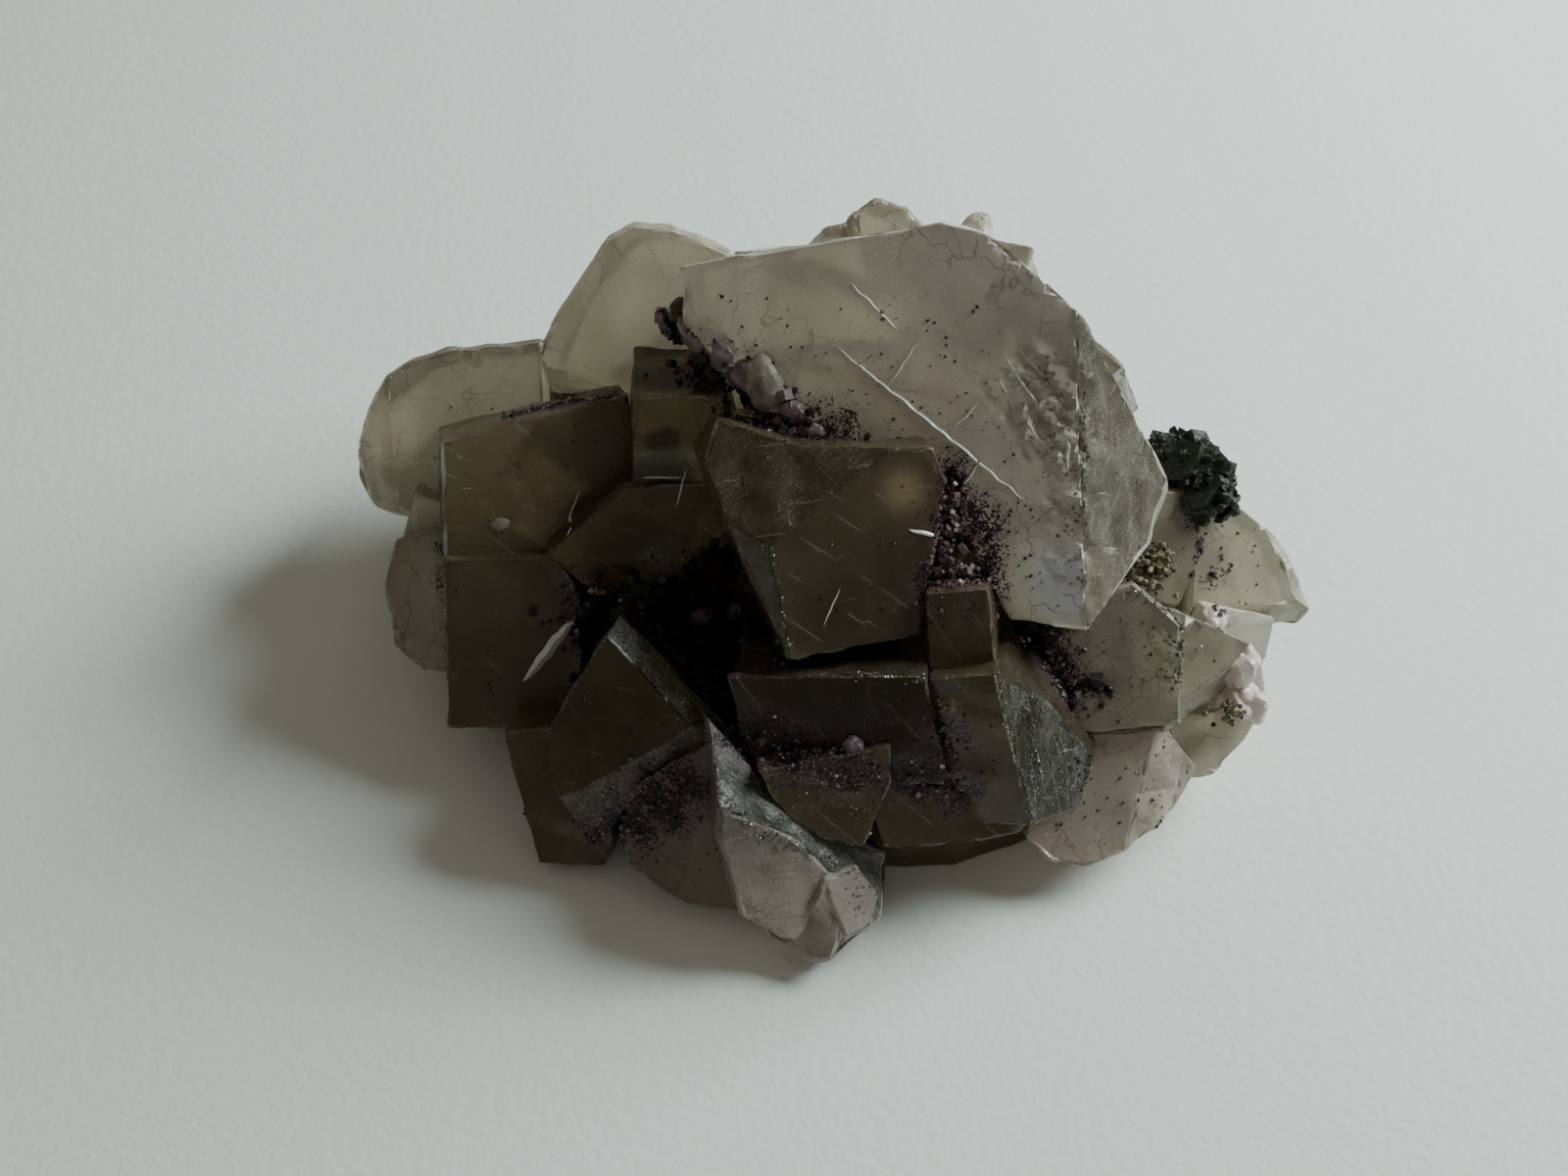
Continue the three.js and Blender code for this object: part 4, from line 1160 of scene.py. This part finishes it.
# the blackish lump at the right: facetted grains heaped along a route, as how many, spread and sizes
sphalerite = dict(
    route=[(34.4, 7.6, 29), (36, 5, 28.8), (37.2, 3.2, 28.2), (37.8, 2.2, 27.2)],
    layers=[(9, 0.8, (3.8, 4.4)), (60, 2.2, (1.4, 2.2)), (330, 2.75, (0.6, 1.0))],
    facets=7, facetAt=(0.44, 0.6),  # cuts on each grain, and how far from its middle in its sizes
    crowded=1.4, shell=(0.85, 1),  # towards the route's far end, and how near the layer's rim
    colours=((0.003, 0.005, 0.002, 1), (0.021, 0.027, 0.012, 1)), seed=41,
)


def facettedLump(size, rng, settings):
    bm = bmesh.new()
    bmesh.ops.create_cube(bm, size=size)
    for _ in range(settings["facets"]):
        way = drift(rng, 1).normalized()
        cutOff(bm, way * size * rng.uniform(*settings["facetAt"]), way)
    return bm


def sphaleriteMaterial(colours):
    material, tree, shader = startMaterial("sphalerite")
    places = objectPlaces(tree)
    grains = cells(tree, places, 0.0009, "Color")
    facet = makeNode(tree, "ShaderNodeSeparateColor", {"Color": grains}).outputs[0]
    plug(tree, shader, {
        "Base Color": mixColour(tree, facet, *colours), "Roughness": stretch(tree, facet, 0, 1, (0.2, 0.6)),
        "IOR": 1.5, "Specular IOR Level": 0.3,
    })
    addBump(tree, shader, calc(tree, "ADD", facet, speckle(tree, places, 0.0004, 4)), 0.00025, 0.8)
    return material


def makeSphalerite(settings):
    rng = random.Random(settings["seed"])
    grains = []
    for count, spread, sizes in settings["layers"]:
        for _ in range(count):
            bm = facettedLump(rng.uniform(*sizes), rng, settings)
            way = drift(rng, 1).normalized()
            middle = alongRoute(settings["route"], 1 - rng.random() ** settings["crowded"])
            middle += way * spread * rng.uniform(*settings["shell"])
            bm.transform(Matrix.Translation(middle * mm) @ anyTurn(rng) @ Matrix.Scale(mm, 4))
            grains.append(makeObject("grain", bm))
    lump = grains[0]
    combine(lump, grains[1:], "UNION")
    bm = openMesh(lump.data)
    keepLargest(bm)
    closeMesh(bm, lump.data)
    lump.name = "sphalerite_lump"
    lump.data.materials.clear()
    lump.data.materials.append(sphaleriteMaterial(settings["colours"]))
    finishPiece(lump, "sphalerite", "sphalerite")


makeSphalerite(sphalerite)

# earthy grains, mostly beside the sphalerite: middle, spread, how many
ochre = dict(
    colours=((0.012, 0.010, 0.006, 1), (0.30, 0.26, 0.15, 1)),
    size=(0.12, 0.42), stray=0.6, lifted=0.4, uneven=0.6, seed=51,
    heaps=[((31, -6, 25.3), 1.1, 44), ((32.4, -5.2, 25.6), 1.1, 46), ((33.5, -4.8, 25.3), 1.0, 30),
           ((39.5, -14.8, 13.5), 1.5, 34), ((-24.5, -5, 20), 0.8, 14)],
)


def makeOchre(settings):
    material, tree, shader = startMaterial("ochre")
    places = objectPlaces(tree)
    shade = mixColour(tree, patches(tree, places, 0.0007, 4, 0.38, 0.62), *settings["colours"])
    plug(tree, shader, {"Base Color": shade, "Roughness": 0.9})
    addBump(tree, shader, speckle(tree, places, 0.0003, 4), 0.0002, 0.9)
    rng = random.Random(settings["seed"])
    bm = bmesh.new()
    for middle, spread, count in settings["heaps"]:
        for _ in range(count):
            spot = Vector(middle) + drift(rng, settings["stray"]) * spread
            touch = skin.find_nearest(spot * mm)[0]
            radius = rng.uniform(*settings["size"]) * mm
            place = Matrix.Translation(touch.lerp(spot * mm, settings["lifted"]))
            grain = bmesh.ops.create_icosphere(bm, subdivisions=2, radius=radius, matrix=place)
            for vert in grain["verts"]:
                rise = radius * settings["uneven"] * noise.noise(vert.co / radius)
                vert.co += (vert.co - touch).normalized() * rise
    finishPiece(makeObject("ochre_heaps", bm, material), "ochre", "ochre_grains")


makeOchre(ochre)

floorLook = dict(colour=(0.77, 0.815, 0.785, 1), size=3.0)


def makeFloor(look):
    material, tree, shader = startMaterial("paper")
    plug(tree, shader, {"Base Color": look["colour"], "Roughness": 0.9})
    addBump(tree, shader, speckle(tree, objectPlaces(tree), 0.0012, 4), 0.0002, 0.5)
    bm = bmesh.new()
    bmesh.ops.create_grid(bm, x_segments=1, y_segments=1, size=look["size"] / 2)
    makeObject("floor", bm, material)


studio = dict(
    key=dict(place=(0.42, 0.20, 0.34), size=0.36, power=6.1, colour=(0.87, 0.99, 0.97)),
    sky=dict(colour=(0.76, 0.70, 0.60, 1), strength=0.26),
)


def lightStudio(settings):
    key = settings["key"]
    lamp = bpy.data.lights.new("key", "AREA")
    lamp.shape = "DISK"
    lamp.size = key["size"]
    lamp.energy = key["power"]
    lamp.color = key["colour"]
    light = bpy.data.objects.new("key", lamp)
    light.location = key["place"]
    light.rotation_euler = Vector(key["place"]).to_track_quat("Z", "Y").to_euler()
    bpy.context.scene.collection.objects.link(light)
    world = bpy.data.worlds.new("studio")
    world.use_nodes = True
    sky = world.node_tree.nodes["Background"]
    sky.inputs["Color"].default_value = settings["sky"]["colour"]
    sky.inputs["Strength"].default_value = settings["sky"]["strength"]
    bpy.context.scene.world = world


makeFloor(floorLook)
lightStudio(studio)
print("floor and lights set")
